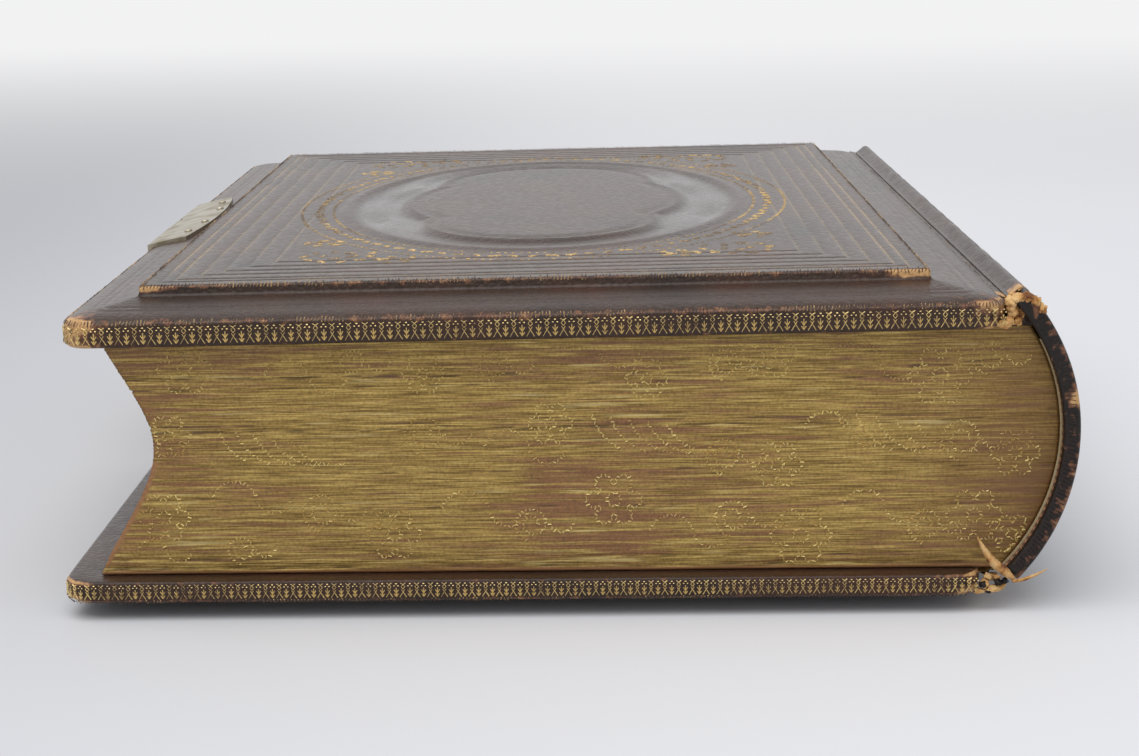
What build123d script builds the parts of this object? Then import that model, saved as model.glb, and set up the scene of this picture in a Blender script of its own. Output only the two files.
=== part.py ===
from build123d import *
import math
import os

os.makedirs("parts", exist_ok=True)

# The book lies on its lower cover, with the spine on +X, the tail on -Y and +Z up.
# The origin is the centre of the bounding box's base.

# Boards, in millimetres
board_width = 254.0
board_length = 320.0
lower_edge = 5.9
upper_edge = 6.9
corner_radius = 7.0
leather = 1.0
turn_in = 14.0
pastedown = 0.3

# Relief of the outer faces: a rounded strip at the edge, a bevel, then a raised panel
strip_width = 6.5
bevel_width = 11.8
lower_strip_rise = 1.4
lower_bevel_rise = 1.4
lower_panel_rise = 2.4
upper_strip_rise = 1.8
upper_bevel_rise = 1.9
upper_panel_rise = 2.8

# Text block
block_thickness = 66.8
end_square = 6.0
fore_square = 10.0
fore_hollow = 14.6
cover_slip = 4.4
cover_tilt = 0.65
block_gap = 0.3

# Spine, as shells about one centre line: its round is the depth from its two ends to its crown
spine_overhang = 25.1
spine_round = 15.4
lining_thickness = 1.3
card_thickness = 1.3
spine_leather_thickness = 1.7
shell_gap = 0.2
cap_setback = 0.8
cap_thickness = 1.9
cap_depth = 4.6
endband_depth = 2.4
spine_rise_upper = 2.7
spine_rise_lower = 4.1

# Joints
joint_gap = 0.5
upper_axis_out = 2.1
upper_axis_up = 3.7
lower_axis_out = 4.5
lower_axis_up = 0.8
lower_joint_reach = 7.5
lower_joint_thickness = 1.5
tail_tear = 16.0

# Clasp
plate_length = 86.0
plate_depth = 15.0
plate_end_depth = 11.5
plate_sheet = 1.2
flange_drop = 4.4
knuckle_radius = 1.6
knuckle_bite = 0.4
knuckle_length = 6.0
pin_radius = 0.7
pin_clearance = 0.1
hasp_width = 20.0
hasp_sheet = 1.2
hasp_swing = 1.5
running_gap = 0.3
eye_radius = 2.4
stud_radius = 1.7
catch_length = 28.0
catch_height = 5.0
catch_sheet = 0.8
hasp_tail = 2.2
hasp_knee = 10.0
hasp_corner = 4.0
rivet_radius = 1.3
rivet_head = 0.7
plate_rivets = [(3.5, -31.0), (5.8, -14.0), (5.8, 14.0), (3.5, 31.0)]
catch_rivet_inset = 1.8

# Heights, from the table up
lower_relief = lower_strip_rise + lower_bevel_rise + lower_panel_rise
lower_inner_z = lower_relief + lower_edge
block_bottom_z = lower_inner_z + block_gap
tilt = math.radians(cover_tilt)

# Places across the book, first from the lower cover's fore edge
upper_fore_x = cover_slip
upper_spine_x = cover_slip + board_width * math.cos(tilt)
upper_middle_x = (upper_fore_x + upper_spine_x) / 2
upper_inner_z = block_bottom_z + block_thickness + block_gap
upper_ridge_z = upper_inner_z + upper_edge
ridge_at_spine_z = upper_ridge_z + math.tan(tilt) * board_width / 2
spine_low_z = lower_relief + spine_rise_lower
spine_high_z = ridge_at_spine_z + spine_rise_upper
spine_half_height = (spine_high_z - spine_low_z) / 2
spine_radius = (spine_half_height**2 + spine_round**2) / (2 * spine_round)
spine_crown_x = board_width + spine_overhang
back_centre_x = spine_crown_x - spine_radius
back_centre_z = (spine_low_z + spine_high_z) / 2
leather_radius = spine_radius - spine_leather_thickness
card_radius = leather_radius - shell_gap - card_thickness
lining_radius = card_radius - shell_gap
back_radius = lining_radius - lining_thickness
hasp_inner_x = -(catch_sheet + running_gap + hasp_swing)
hasp_outer_x = hasp_inner_x - hasp_sheet

# The frame's origin is under the middle of the whole book, hasp included
origin_x = (spine_crown_x + hasp_outer_x) / 2


def across(x):
    """Turn a distance from the lower cover's fore edge into the frame's X."""
    return x - origin_x


# Sections across the book are drawn on this plane, where local Y is the height
section = Plane(origin=(0, 0, 0), x_dir=(1, 0, 0), z_dir=(0, -1, 0))

lower_plane = Plane(
    origin=(across(board_width / 2), 0, lower_relief),
    x_dir=(1, 0, 0),
    z_dir=(0, 0, -1),
)
upper_plane = Plane(
    origin=(across(upper_middle_x), 0, upper_ridge_z),
    x_dir=(math.cos(tilt), 0, math.sin(tilt)),
    z_dir=(-math.sin(tilt), 0, math.cos(tilt)),
)


def cover_form(plane, edge, strip_rise, bevel_rise, inset):
    """A cover up to its panel: edge slab, edge strip and bevel, shrunk by an inset."""
    width = board_width - 2 * inset
    length = board_length - 2 * inset
    base = plane.offset(-inset)
    steps = [(0.0, 0.0), (strip_width, strip_rise), (strip_width + bevel_width, strip_rise + bevel_rise)]
    with BuildPart() as form:
        with BuildSketch(plane.offset(inset - edge)):
            RectangleRounded(width, length, corner_radius - inset / 2)
        extrude(amount=edge - 2 * inset)
        for (low_in, low), (high_in, high) in zip(steps, steps[1:]):
            with BuildSketch(base.offset(low)):
                RectangleRounded(width - 2 * low_in, length - 2 * low_in, corner_radius - inset / 2)
            with BuildSketch(base.offset(high)):
                RectangleRounded(width - 2 * high_in, length - 2 * high_in, corner_radius - inset / 2)
            loft()
    return form.part


def panel_form(plane, strip_rise, bevel_rise, panel_rise, inset):
    """The raised panel on a cover's outer face."""
    margin = strip_width + bevel_width + inset
    with BuildPart() as form:
        with BuildSketch(plane.offset(strip_rise + bevel_rise - inset)):
            Rectangle(board_width - 2 * margin, board_length - 2 * margin)
        extrude(amount=panel_rise)
    return form.part


def inner_field(plane, edge, depth):
    """The space inside the turned-in leather, measured from the cover's inner face."""
    with BuildPart() as form:
        with BuildSketch(plane.offset(-edge)):
            Rectangle(board_width - 2 * turn_in, board_length - 2 * turn_in)
        extrude(amount=depth)
    return form.part


def cover_leather(plane, edge, strip_rise, bevel_rise, panel_rise):
    """The leather skin of one cover, hollow for its boards and open over the inner field."""
    with BuildPart() as skin:
        add(cover_form(plane, edge, strip_rise, bevel_rise, 0.0))
        add(panel_form(plane, strip_rise, bevel_rise, panel_rise, 0.0))
        add(cover_form(plane, edge, strip_rise, bevel_rise, leather), mode=Mode.SUBTRACT)
        add(panel_form(plane, strip_rise, bevel_rise, panel_rise, leather), mode=Mode.SUBTRACT)
        add(inner_field(plane, edge, 2 * leather), mode=Mode.SUBTRACT)
    return skin.part


def cover_board(plane, edge, strip_rise, bevel_rise):
    """The millboard core, which fills the turned-in leather down to the pastedown."""
    with BuildPart() as board:
        add(cover_form(plane, edge, strip_rise, bevel_rise, leather))
        add(inner_field(plane, edge, 2 * leather))
        add(inner_field(plane, edge, pastedown), mode=Mode.SUBTRACT)
    return board.part


def on_back(radius, degrees):
    """A point about the spine's centre line, in the section plane."""
    turn = math.radians(degrees)
    return (across(back_centre_x) + radius * math.cos(turn), back_centre_z + radius * math.sin(turn))


def back_angle(radius, height):
    """The angle at which a shell of the spine reaches a height."""
    return math.degrees(math.asin((height - back_centre_z) / radius))


def back_shell(inner, outer, low_angle, high_angle, near_y, far_y):
    """A shell of the spine between two radii and two angles, from near_y to far_y."""
    sweep_angle = high_angle - low_angle
    centre = (across(back_centre_x), back_centre_z)
    with BuildPart() as shell:
        with BuildSketch(section.offset(-near_y)):
            with BuildLine():
                CenterArc(centre, outer, low_angle, sweep_angle)
                CenterArc(centre, inner, low_angle, sweep_angle)
                Line(on_back(inner, low_angle), on_back(outer, low_angle))
                Line(on_back(inner, high_angle), on_back(outer, high_angle))
            make_face()
        extrude(amount=near_y - far_y)
    return shell.part


def block_top_z(x):
    """Height of the text block's top face, which rises towards the spine."""
    return block_bottom_z + block_thickness + math.tan(tilt) * (x - upper_middle_x)


def back_meets_top():
    """Where the rounded back reaches the sloping top face, from the fore edge."""
    slope = math.tan(tilt)
    x = back_centre_x + back_radius
    for _ in range(20):
        rise = block_top_z(x) - back_centre_z
        x = back_centre_x + math.sqrt(back_radius**2 - rise**2)
    return x


# ---- Lower cover ----
with BuildPart() as lower_board:
    add(cover_board(lower_plane, lower_edge, lower_strip_rise, lower_bevel_rise))
lower_board.part.label = "lower_board"
export_step(lower_board.part, "parts/lower_board.step")

with BuildPart() as lower_panel:
    add(panel_form(lower_plane, lower_strip_rise, lower_bevel_rise, lower_panel_rise, leather))
lower_panel.part.label = "lower_panel"
export_step(lower_panel.part, "parts/lower_panel.step")

with BuildPart() as lower_leather:
    add(cover_leather(lower_plane, lower_edge, lower_strip_rise, lower_bevel_rise, lower_panel_rise))
lower_leather.part.label = "lower_leather"
export_step(lower_leather.part, "parts/lower_leather.step")

with BuildPart() as lower_pastedown:
    add(inner_field(lower_plane, lower_edge, pastedown))
lower_pastedown.part.label = "lower_pastedown"
export_step(lower_pastedown.part, "parts/lower_pastedown.step")

# The lower joint is a strip from the board's end towards the spine, torn away at the tail
lower_joint_z = lower_relief + 0.2
with BuildPart() as lower_joint:
    with BuildSketch(section.offset(board_length / 2 - tail_tear)):
        with BuildLine():
            Polyline(
                (across(board_width), lower_joint_z),
                (across(board_width + lower_joint_reach), lower_joint_z + lower_joint_thickness),
                (across(board_width + lower_joint_reach), lower_joint_z + 2 * lower_joint_thickness),
                (across(board_width), lower_joint_z + lower_joint_thickness),
                close=True,
            )
        make_face()
    extrude(amount=-(board_length - tail_tear - cap_setback - corner_radius))
lower_joint.part.label = "lower_joint"
export_step(lower_joint.part, "parts/lower_joint.step")

# ---- Book block ----
block_near_y = -board_length / 2 + end_square
block_far_y = board_length / 2 - end_square
fore_top_x = upper_fore_x + fore_square
fore_bottom_x = fore_square
fore_middle_x = (fore_top_x + fore_bottom_x) / 2 + fore_hollow
back_bottom_x = back_centre_x + math.sqrt(back_radius**2 - (back_centre_z - block_bottom_z) ** 2)
back_top_x = back_meets_top()

with BuildPart() as text_block:
    with BuildSketch(section.offset(-block_near_y)):
        with BuildLine():
            Line((across(fore_bottom_x), block_bottom_z), (across(back_bottom_x), block_bottom_z))
            ThreePointArc(
                (across(back_bottom_x), block_bottom_z),
                on_back(back_radius, 0),
                (across(back_top_x), block_top_z(back_top_x)),
            )
            Line(
                (across(back_top_x), block_top_z(back_top_x)),
                (across(fore_top_x), block_top_z(fore_top_x)),
            )
            # The fore edge is hollow: rounder above the middle, straighter below it
            Spline(
                (across(fore_top_x), block_top_z(fore_top_x)),
                (across(fore_middle_x - 3.6), block_bottom_z + 0.74 * block_thickness),
                (across(fore_middle_x), block_bottom_z + 0.57 * block_thickness),
                (across(fore_middle_x - 5.7), block_bottom_z + 0.30 * block_thickness),
                (across(fore_bottom_x), block_bottom_z),
            )
        make_face()
    extrude(amount=-(block_far_y - block_near_y))
text_block.part.label = "text_block"
export_step(text_block.part, "parts/text_block.step")

# The linings stop short of both covers, and so do the endbands that sit against them
lining_low = back_angle(back_radius, block_bottom_z + leather)
lining_high = back_angle(leather_radius, upper_inner_z - block_gap - leather)
spine_low = back_angle(spine_radius, spine_low_z)
spine_high = back_angle(spine_radius, spine_high_z)
spine_near_y = -board_length / 2 + cap_setback
cap_inner_y = spine_near_y + cap_thickness

with BuildPart() as spine_lining:
    add(back_shell(back_radius, lining_radius, lining_low, lining_high, block_near_y, block_far_y))
spine_lining.part.label = "spine_lining"
export_step(spine_lining.part, "parts/spine_lining.step")

with BuildPart() as spine_card:
    add(
        back_shell(
            card_radius, leather_radius - shell_gap, lining_low, lining_high, block_near_y, block_far_y
        )
    )
spine_card.part.label = "spine_card"
export_step(spine_card.part, "parts/spine_card.step")

# At the tail and head the spine leather is turned in as a cap over the endband
cap_radius = spine_radius - cap_depth
with BuildPart() as spine_leather:
    add(back_shell(leather_radius, spine_radius, spine_low, spine_high, spine_near_y, -spine_near_y))
    add(back_shell(cap_radius, spine_radius, spine_low, spine_high, spine_near_y, cap_inner_y))
    add(back_shell(cap_radius, spine_radius, spine_low, spine_high, -cap_inner_y, -spine_near_y))
spine_leather.part.label = "spine_leather"
export_step(spine_leather.part, "parts/spine_leather.step")

endband_outer = cap_radius + endband_depth
with BuildPart() as tail_endband:
    add(back_shell(cap_radius, endband_outer, lining_low, lining_high, cap_inner_y, block_near_y))
tail_endband.part.label = "tail_endband"
export_step(tail_endband.part, "parts/tail_endband.step")

with BuildPart() as head_endband:
    add(back_shell(cap_radius, endband_outer, lining_low, lining_high, -block_near_y, -cap_inner_y))
head_endband.part.label = "head_endband"
export_step(head_endband.part, "parts/head_endband.step")

# The upper joint fills the corner between the board's end, the block's top and the spine
joint_x = upper_spine_x + joint_gap
joint_top_z = ridge_at_spine_z + joint_gap
joint_arc_low = back_angle(leather_radius, block_top_z(back_top_x) + joint_gap)
joint_arc_high = spine_high - 1.0
joint_arc_radius = leather_radius - shell_gap
with BuildPart() as upper_joint:
    with BuildSketch(section.offset(-block_near_y)):
        with BuildLine():
            Polyline(
                on_back(joint_arc_radius, joint_arc_high),
                (across(joint_x), joint_top_z),
                (across(joint_x), block_top_z(joint_x)),
                (across(back_top_x), block_top_z(back_top_x)),
                on_back(joint_arc_radius, joint_arc_low),
            )
            CenterArc(
                (across(back_centre_x), back_centre_z),
                joint_arc_radius,
                joint_arc_low,
                joint_arc_high - joint_arc_low,
            )
        make_face()
    extrude(amount=-(block_far_y - block_near_y))
upper_joint.part.label = "upper_joint"
export_step(upper_joint.part, "parts/upper_joint.step")

# ---- Upper cover ----
with BuildPart() as upper_board:
    add(cover_board(upper_plane, upper_edge, upper_strip_rise, upper_bevel_rise))
upper_board.part.label = "upper_board"
export_step(upper_board.part, "parts/upper_board.step")

with BuildPart() as upper_panel:
    add(panel_form(upper_plane, upper_strip_rise, upper_bevel_rise, upper_panel_rise, leather))
upper_panel.part.label = "upper_panel"
export_step(upper_panel.part, "parts/upper_panel.step")

with BuildPart() as upper_leather:
    add(cover_leather(upper_plane, upper_edge, upper_strip_rise, upper_bevel_rise, upper_panel_rise))
upper_leather.part.label = "upper_leather"
export_step(upper_leather.part, "parts/upper_leather.step")

with BuildPart() as upper_pastedown:
    add(inner_field(upper_plane, upper_edge, pastedown))
upper_pastedown.part.label = "upper_pastedown"
export_step(upper_pastedown.part, "parts/upper_pastedown.step")

# ---- Clasp ----
# Sections of the clasp are drawn on the upper cover's own cross plane, seen from the tail:
# local X runs from the cover's fore edge towards the spine, and local Y stands off its face
fore_edge = upper_plane.from_local_coords((-board_width / 2, 0, 0))
clasp_section = Plane(origin=fore_edge, x_dir=upper_plane.x_dir, z_dir=(0, -1, 0))
clasp_plan = Plane(origin=fore_edge, x_dir=upper_plane.x_dir, z_dir=upper_plane.z_dir)
bevel_slope = upper_bevel_rise / bevel_width
plate_inner_y = upper_strip_rise + bevel_slope * (plate_depth - strip_width)
axis_x = knuckle_bite - plate_sheet - knuckle_radius
axis_y = -knuckle_radius
knuckle_start = hasp_width / 2 + running_gap


def barrel(radius, start, length):
    """A round bar on the clasp's hinge axis, from start along the book's length."""
    with BuildPart() as bar:
        with BuildSketch(clasp_section.offset(-start)):
            with Locations((axis_x, axis_y)):
                Circle(radius)
        extrude(amount=-length)
    return bar.part


with BuildPart() as clasp_plate:
    # A sheet bent over the bevel and the edge strip, with a flange down the board's edge
    with BuildSketch(clasp_section.offset(plate_length / 2)):
        with BuildLine():
            Polyline(
                (plate_depth, plate_inner_y),
                (strip_width, upper_strip_rise),
                (0, 0),
                (0, -flange_drop),
                (-plate_sheet, -flange_drop),
                (-plate_sheet, plate_sheet),
                (strip_width, upper_strip_rise + plate_sheet),
                (plate_depth, plate_inner_y + plate_sheet),
                close=True,
            )
        make_face()
    extrude(amount=-plate_length)
    # Its inner outline is a shallow curve
    with BuildSketch(clasp_plan.offset(-upper_edge)):
        with BuildLine():
            half = plate_length / 2
            Polyline(
                (plate_end_depth, half),
                (-plate_depth, half),
                (-plate_depth, -half),
                (plate_end_depth, -half),
            )
            ThreePointArc((plate_end_depth, -half), (plate_depth, 0), (plate_end_depth, half))
        make_face()
    extrude(amount=2 * upper_edge, mode=Mode.INTERSECT)
    # The flange is cut away where the hasp's own knuckle turns
    with BuildSketch(clasp_plan.offset(-upper_edge)):
        with Locations((-plate_depth / 2, 0)):
            Rectangle(plate_depth, 2 * knuckle_start)
    extrude(amount=2 * upper_edge, mode=Mode.SUBTRACT)
    for start in (knuckle_start, -knuckle_start - knuckle_length):
        add(barrel(knuckle_radius, start, knuckle_length))
        add(barrel(pin_radius + pin_clearance, start, knuckle_length), mode=Mode.SUBTRACT)
clasp_plate.part.label = "clasp_plate"
export_step(clasp_plate.part, "parts/clasp_plate.step")

pin_length = 2 * (knuckle_start + knuckle_length)
with BuildPart() as clasp_pin:
    add(barrel(pin_radius, -pin_length / 2, pin_length))
clasp_pin.part.label = "clasp_pin"
export_step(clasp_pin.part, "parts/clasp_pin.step")


def rivet_heads(plane, centres):
    """Rivet heads with rounded edges, standing on a plane."""
    with BuildPart() as heads:
        with BuildSketch(plane):
            with Locations(*centres):
                Circle(rivet_radius)
        extrude(amount=rivet_head)
        outer_edges = heads.edges().group_by(Axis(plane.origin, plane.z_dir))[-1]
        fillet(outer_edges, radius=0.7 * rivet_head)
    return heads.part


# The plate's rivets stand on its bevelled part
bevel_turn = math.atan(bevel_slope)
bevel_face = Plane(
    origin=clasp_plan.from_local_coords((strip_width, 0, upper_strip_rise + plate_sheet)),
    x_dir=upper_plane.x_dir * math.cos(bevel_turn) + upper_plane.z_dir * math.sin(bevel_turn),
    z_dir=upper_plane.z_dir * math.cos(bevel_turn) - upper_plane.x_dir * math.sin(bevel_turn),
)
with BuildPart() as clasp_rivets:
    add(rivet_heads(bevel_face, plate_rivets))
clasp_rivets.part.label = "clasp_rivets"
export_step(clasp_rivets.part, "parts/clasp_rivets.step")

# The hasp hangs from the pin, leans out past the lower cover and ends in an eye
hinge_centre = clasp_plan.from_local_coords((axis_x, 0, axis_y))
eye_z = lower_relief + lower_edge / 2
knee_z = eye_z + hasp_knee
end_z = eye_z - eye_radius - hasp_tail
with BuildPart() as clasp_hasp:
    with BuildSketch(section.offset(hasp_width / 2)):
        with BuildLine():
            Polyline(
                (hinge_centre.X - knuckle_radius, hinge_centre.Z),
                (across(hasp_outer_x), knee_z),
                (across(hasp_outer_x), end_z),
                (across(hasp_inner_x), end_z),
                (across(hasp_inner_x), knee_z),
                (hinge_centre.X - knuckle_radius + hasp_sheet, hinge_centre.Z),
                close=True,
            )
        make_face()
    extrude(amount=-hasp_width)
    fillet(clasp_hasp.edges().filter_by(Axis.X).group_by(Axis.Z)[0], radius=hasp_corner)
    with BuildSketch(Plane.YZ.offset(across(hasp_outer_x))):
        with Locations((0, eye_z)):
            Circle(eye_radius)
    extrude(amount=hasp_sheet, mode=Mode.SUBTRACT)
    add(barrel(knuckle_radius, -hasp_width / 2, hasp_width))
    add(barrel(pin_radius + pin_clearance, -hasp_width / 2, hasp_width), mode=Mode.SUBTRACT)
clasp_hasp.part.label = "clasp_hasp"
export_step(clasp_hasp.part, "parts/clasp_hasp.step")

# The catch is a plate on the lower cover's fore edge, with a stud that the eye drops over
catch_face = Plane(origin=(across(-catch_sheet), 0, eye_z), x_dir=(0, -1, 0), z_dir=(-1, 0, 0))
with BuildPart() as catch_plate:
    with BuildSketch(catch_face.offset(-catch_sheet)):
        RectangleRounded(catch_length, catch_height, catch_height / 3)
    extrude(amount=catch_sheet)
    with BuildSketch(catch_face):
        Circle(stud_radius)
    extrude(amount=hasp_swing)
catch_plate.part.label = "catch_plate"
export_step(catch_plate.part, "parts/catch_plate.step")

catch_rivet_y = catch_length / 2 - catch_rivet_inset
with BuildPart() as catch_rivets:
    add(rivet_heads(catch_face, [(-catch_rivet_y, 0), (catch_rivet_y, 0)]))
catch_rivets.part.label = "catch_rivets"
export_step(catch_rivets.part, "parts/catch_rivets.step")

# ---- Joint axes, all along the book's length ----
lower_axis = (across(board_width + lower_axis_out), lower_relief + lower_axis_up)
upper_axis = (across(upper_spine_x + upper_axis_out), ridge_at_spine_z + upper_axis_up)
latch_turn = math.degrees(hasp_swing / (hinge_centre.Z - eye_z))
print("lower hinge axis x, z:", lower_axis)
print("upper hinge axis x, z:", upper_axis)
print("hasp axis x, z:", hinge_centre.X, hinge_centre.Z, "turn onto the stud:", latch_turn)
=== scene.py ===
import math

import bmesh
import bpy
import numpy as np
from mathutils import Matrix, Vector, noise


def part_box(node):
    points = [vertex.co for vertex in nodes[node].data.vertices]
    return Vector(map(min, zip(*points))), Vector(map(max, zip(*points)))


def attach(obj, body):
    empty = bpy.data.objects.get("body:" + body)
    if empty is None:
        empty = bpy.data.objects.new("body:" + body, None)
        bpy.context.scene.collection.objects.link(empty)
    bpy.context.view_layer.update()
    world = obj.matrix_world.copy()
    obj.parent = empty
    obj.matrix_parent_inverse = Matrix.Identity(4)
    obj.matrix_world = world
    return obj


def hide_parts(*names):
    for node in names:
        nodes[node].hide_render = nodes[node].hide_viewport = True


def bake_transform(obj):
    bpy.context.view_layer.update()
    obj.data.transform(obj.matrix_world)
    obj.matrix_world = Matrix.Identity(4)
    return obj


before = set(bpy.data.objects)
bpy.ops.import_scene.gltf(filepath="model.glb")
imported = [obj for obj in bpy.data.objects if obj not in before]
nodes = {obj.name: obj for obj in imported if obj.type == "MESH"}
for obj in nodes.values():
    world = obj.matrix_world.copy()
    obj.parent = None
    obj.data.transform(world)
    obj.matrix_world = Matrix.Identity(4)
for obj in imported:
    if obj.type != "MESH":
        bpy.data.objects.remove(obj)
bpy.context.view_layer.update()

# ---- Studio ----
# A pale paper sweep runs under and behind the book. One broad soft lamp hangs over it, a pale
# room lights it from all round, and the camera looks down on the tail from just over the cover.
scene = bpy.context.scene
scene.view_settings.view_transform = "Standard"


def add_node(tree, kind, inputs=None, **settings):
    """Add a node with its settings, and give its inputs their values or links."""
    node = tree.nodes.new(kind)
    for name, value in settings.items():
        setattr(node, name, value)
    for key, value in (inputs or {}).items():
        if isinstance(value, bpy.types.NodeSocket):
            tree.links.new(value, node.inputs[key])
        else:
            node.inputs[key].default_value = value
    return node


def tint(red, green, blue):
    """A colour given as it looks, from 0 to 255, in the linear values that shaders take."""
    looks = np.array([red, green, blue]) / 255
    linear = np.where(looks > 0.04045, ((looks + 0.055) / 1.055) ** 2.4, looks / 12.92)
    return (*linear.tolist(), 1.0)


def calculate(tree, operation, first, second=0.0):
    """One step of arithmetic on two values or sockets."""
    return add_node(tree, "ShaderNodeMath", {0: first, 1: second}, operation=operation).outputs[0]


def add_ramp(tree, factor, stops):
    """Colours spread along a factor, as (place, colour) stops."""
    node = add_node(tree, "ShaderNodeValToRGB", {"Fac": factor})
    elements = node.color_ramp.elements
    elements[1].position, elements[1].color = stops[-1]
    elements[0].position, elements[0].color = stops[0]
    for place, colour in stops[1:-1]:
        elements.new(place).color = colour
    return node.outputs["Color"]


def mix_colour(tree, factor, first, second, blend="MIX"):
    """Two colours mixed by a factor."""
    inputs = {0: factor, 6: first, 7: second}
    return add_node(tree, "ShaderNodeMix", inputs, data_type="RGBA", blend_type=blend).outputs[2]


def cloudy(tree, place, scale, detail):
    """Noise from 0 to 1 at a place, in finer lumps at a larger scale."""
    inputs = {"Vector": place, "Scale": scale, "Detail": detail}
    return add_node(tree, "ShaderNodeTexNoise", inputs).outputs[0]


def stretched(tree, place, scale):
    """A place scaled along each axis, which draws the noise on it out."""
    return add_node(tree, "ShaderNodeMapping", {"Vector": place, "Scale": scale}).outputs[0]


def remap(tree, value, low, high, new_low=0.0, new_high=1.0, **settings):
    """A value moved from one range to another, and held inside it."""
    inputs = {0: value, 1: low, 2: high, 3: new_low, 4: new_high}
    return add_node(tree, "ShaderNodeMapRange", inputs, **settings).outputs[0]


def mesh_value(tree, name):
    """A value that the mesh carries at its points."""
    return add_node(tree, "ShaderNodeAttribute", attribute_name=name).outputs["Fac"]


def multiply(tree, first, second):
    """The product of two values or sockets."""
    return calculate(tree, "MULTIPLY", first, second)


def new_material(name):
    """An empty material: its node tree, its output's surface socket and the object's place."""
    material = bpy.data.materials.new(name)
    material.use_nodes = True
    tree = material.node_tree
    tree.nodes.clear()
    output = add_node(tree, "ShaderNodeOutputMaterial")
    place = add_node(tree, "ShaderNodeTexCoord").outputs["Object"]
    return material, tree, output.inputs["Surface"], place


def add_surface(tree, surface, colour, roughness, relief, more=None):
    """A Principled shader on the output. Relief is the bump's strength, distance and height."""
    strength, distance, height = relief
    bump = add_node(tree, "ShaderNodeBump", {"Strength": strength, "Distance": distance, "Height": height})
    inputs = {"Base Color": colour, "Roughness": roughness, "Normal": bump.outputs[0], **(more or {})}
    shader = add_node(tree, "ShaderNodeBsdfPrincipled", inputs)
    tree.links.new(shader.outputs[0], surface)


camera_data = bpy.data.cameras.new("camera")
camera_data.sensor_width = 36.0
camera_data.lens = 62.06
camera_data.clip_end = 20.0
camera = bpy.data.objects.new("camera", camera_data)
scene.collection.objects.link(camera)
camera_place = Matrix.Translation((0.00967, -0.6712, 0.1929))
camera_yaw = Matrix.Rotation(math.radians(0.70), 4, "Z")
camera_pitch = Matrix.Rotation(math.radians(90 - 13.74), 4, "X")
camera_roll = Matrix.Rotation(math.radians(-0.76), 4, "Z")
camera.matrix_world = camera_place @ camera_yaw @ camera_pitch @ camera_roll
scene.camera = camera

world = bpy.data.worlds.new("studio")
world.use_nodes = True
scene.world = world
sky = world.node_tree
sky.nodes.clear()
light_path = add_node(sky, "ShaderNodeLightPath")
camera_or_glossy = calculate(
    sky, "MAXIMUM", light_path.outputs["Is Camera Ray"], light_path.outputs["Is Glossy Ray"])
sees_backdrop = calculate(sky, "MAXIMUM", camera_or_glossy, light_path.outputs["Is Transmission Ray"])
room_light = add_node(sky, "ShaderNodeBackground", {"Color": tint(244, 245, 248), "Strength": 0.68})
backdrop = add_node(sky, "ShaderNodeBackground", {"Color": tint(242, 242, 243), "Strength": 1.0})
sky_inputs = {0: sees_backdrop, 1: room_light.outputs[0], 2: backdrop.outputs[0]}
sky_mix = add_node(sky, "ShaderNodeMixShader", sky_inputs)
add_node(sky, "ShaderNodeOutputWorld", {"Surface": sky_mix.outputs[0]})

lamp_data = bpy.data.lights.new("soft_lamp", "AREA")
lamp_data.shape = "RECTANGLE"
lamp_data.size = 1.6
lamp_data.size_y = 1.2
lamp_data.energy = 15.0
lamp = bpy.data.objects.new("soft_lamp", lamp_data)
scene.collection.objects.link(lamp)
lamp_place = Vector((-0.25, -0.55, 1.35))
lamp.location = lamp_place
lamp.rotation_euler = (-lamp_place).to_track_quat("-Z", "Y").to_euler()

floor_half = 4.0
floor_drop = 0.0003
floor_corners = [(x * floor_half, y * floor_half, 0) for x, y in ((-1, -1), (1, -1), (1, 1), (-1, 1))]
floor_mesh = bpy.data.meshes.new("floor")
floor_mesh.from_pydata(floor_corners, [], [(0, 1, 2, 3)])
floor = bpy.data.objects.new("floor", floor_mesh)
floor.location.z = -floor_drop
scene.collection.objects.link(floor)
paper, tree, surface, place = new_material("sweep_paper_painted_shade")
across, depth, _ = add_node(tree, "ShaderNodeSeparateXYZ", {0: place}).outputs
# The paper is painted darker towards the front and towards the left. This is painted shade, standing in for
# the lamp's light falling off there.
painted_shade_depth = remap(tree, depth, -0.6, 0.55)
paper_and_painted_shade = add_ramp(tree, painted_shade_depth, [(0.0, tint(214, 215, 218)), (1.0, tint(236, 236, 239))])
painted_left_shade = remap(tree, across, 0.12, -0.4, interpolation_type="SMOOTHSTEP")
paper_and_painted_shade = mix_colour(tree, painted_left_shade, paper_and_painted_shade, tint(190, 191, 195))
sheet = add_node(tree, "ShaderNodeBsdfDiffuse", {"Color": paper_and_painted_shade})
far_glow = add_node(tree, "ShaderNodeEmission", {"Color": tint(242, 242, 243), "Strength": 1.0})
behind = remap(tree, depth, 0.2, 2.2, interpolation_type="SMOOTHSTEP")
distance = add_node(tree, "ShaderNodeVectorMath", {0: place}, operation="LENGTH").outputs["Value"]
all_round = remap(tree, distance, 0.9, 3.0, interpolation_type="SMOOTHSTEP")
far_part = calculate(tree, "MAXIMUM", behind, all_round)
path = add_node(tree, "ShaderNodeLightPath")
seen = calculate(tree, "MAXIMUM", path.outputs["Is Camera Ray"], path.outputs["Is Glossy Ray"])
glow_part = multiply(tree, far_part, seen)
blend = add_node(tree, "ShaderNodeMixShader", {0: glow_part, 1: sheet.outputs[0], 2: far_glow.outputs[0]})
tree.links.new(blend.outputs[0], surface)
floor_mesh.materials.append(paper)

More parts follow.
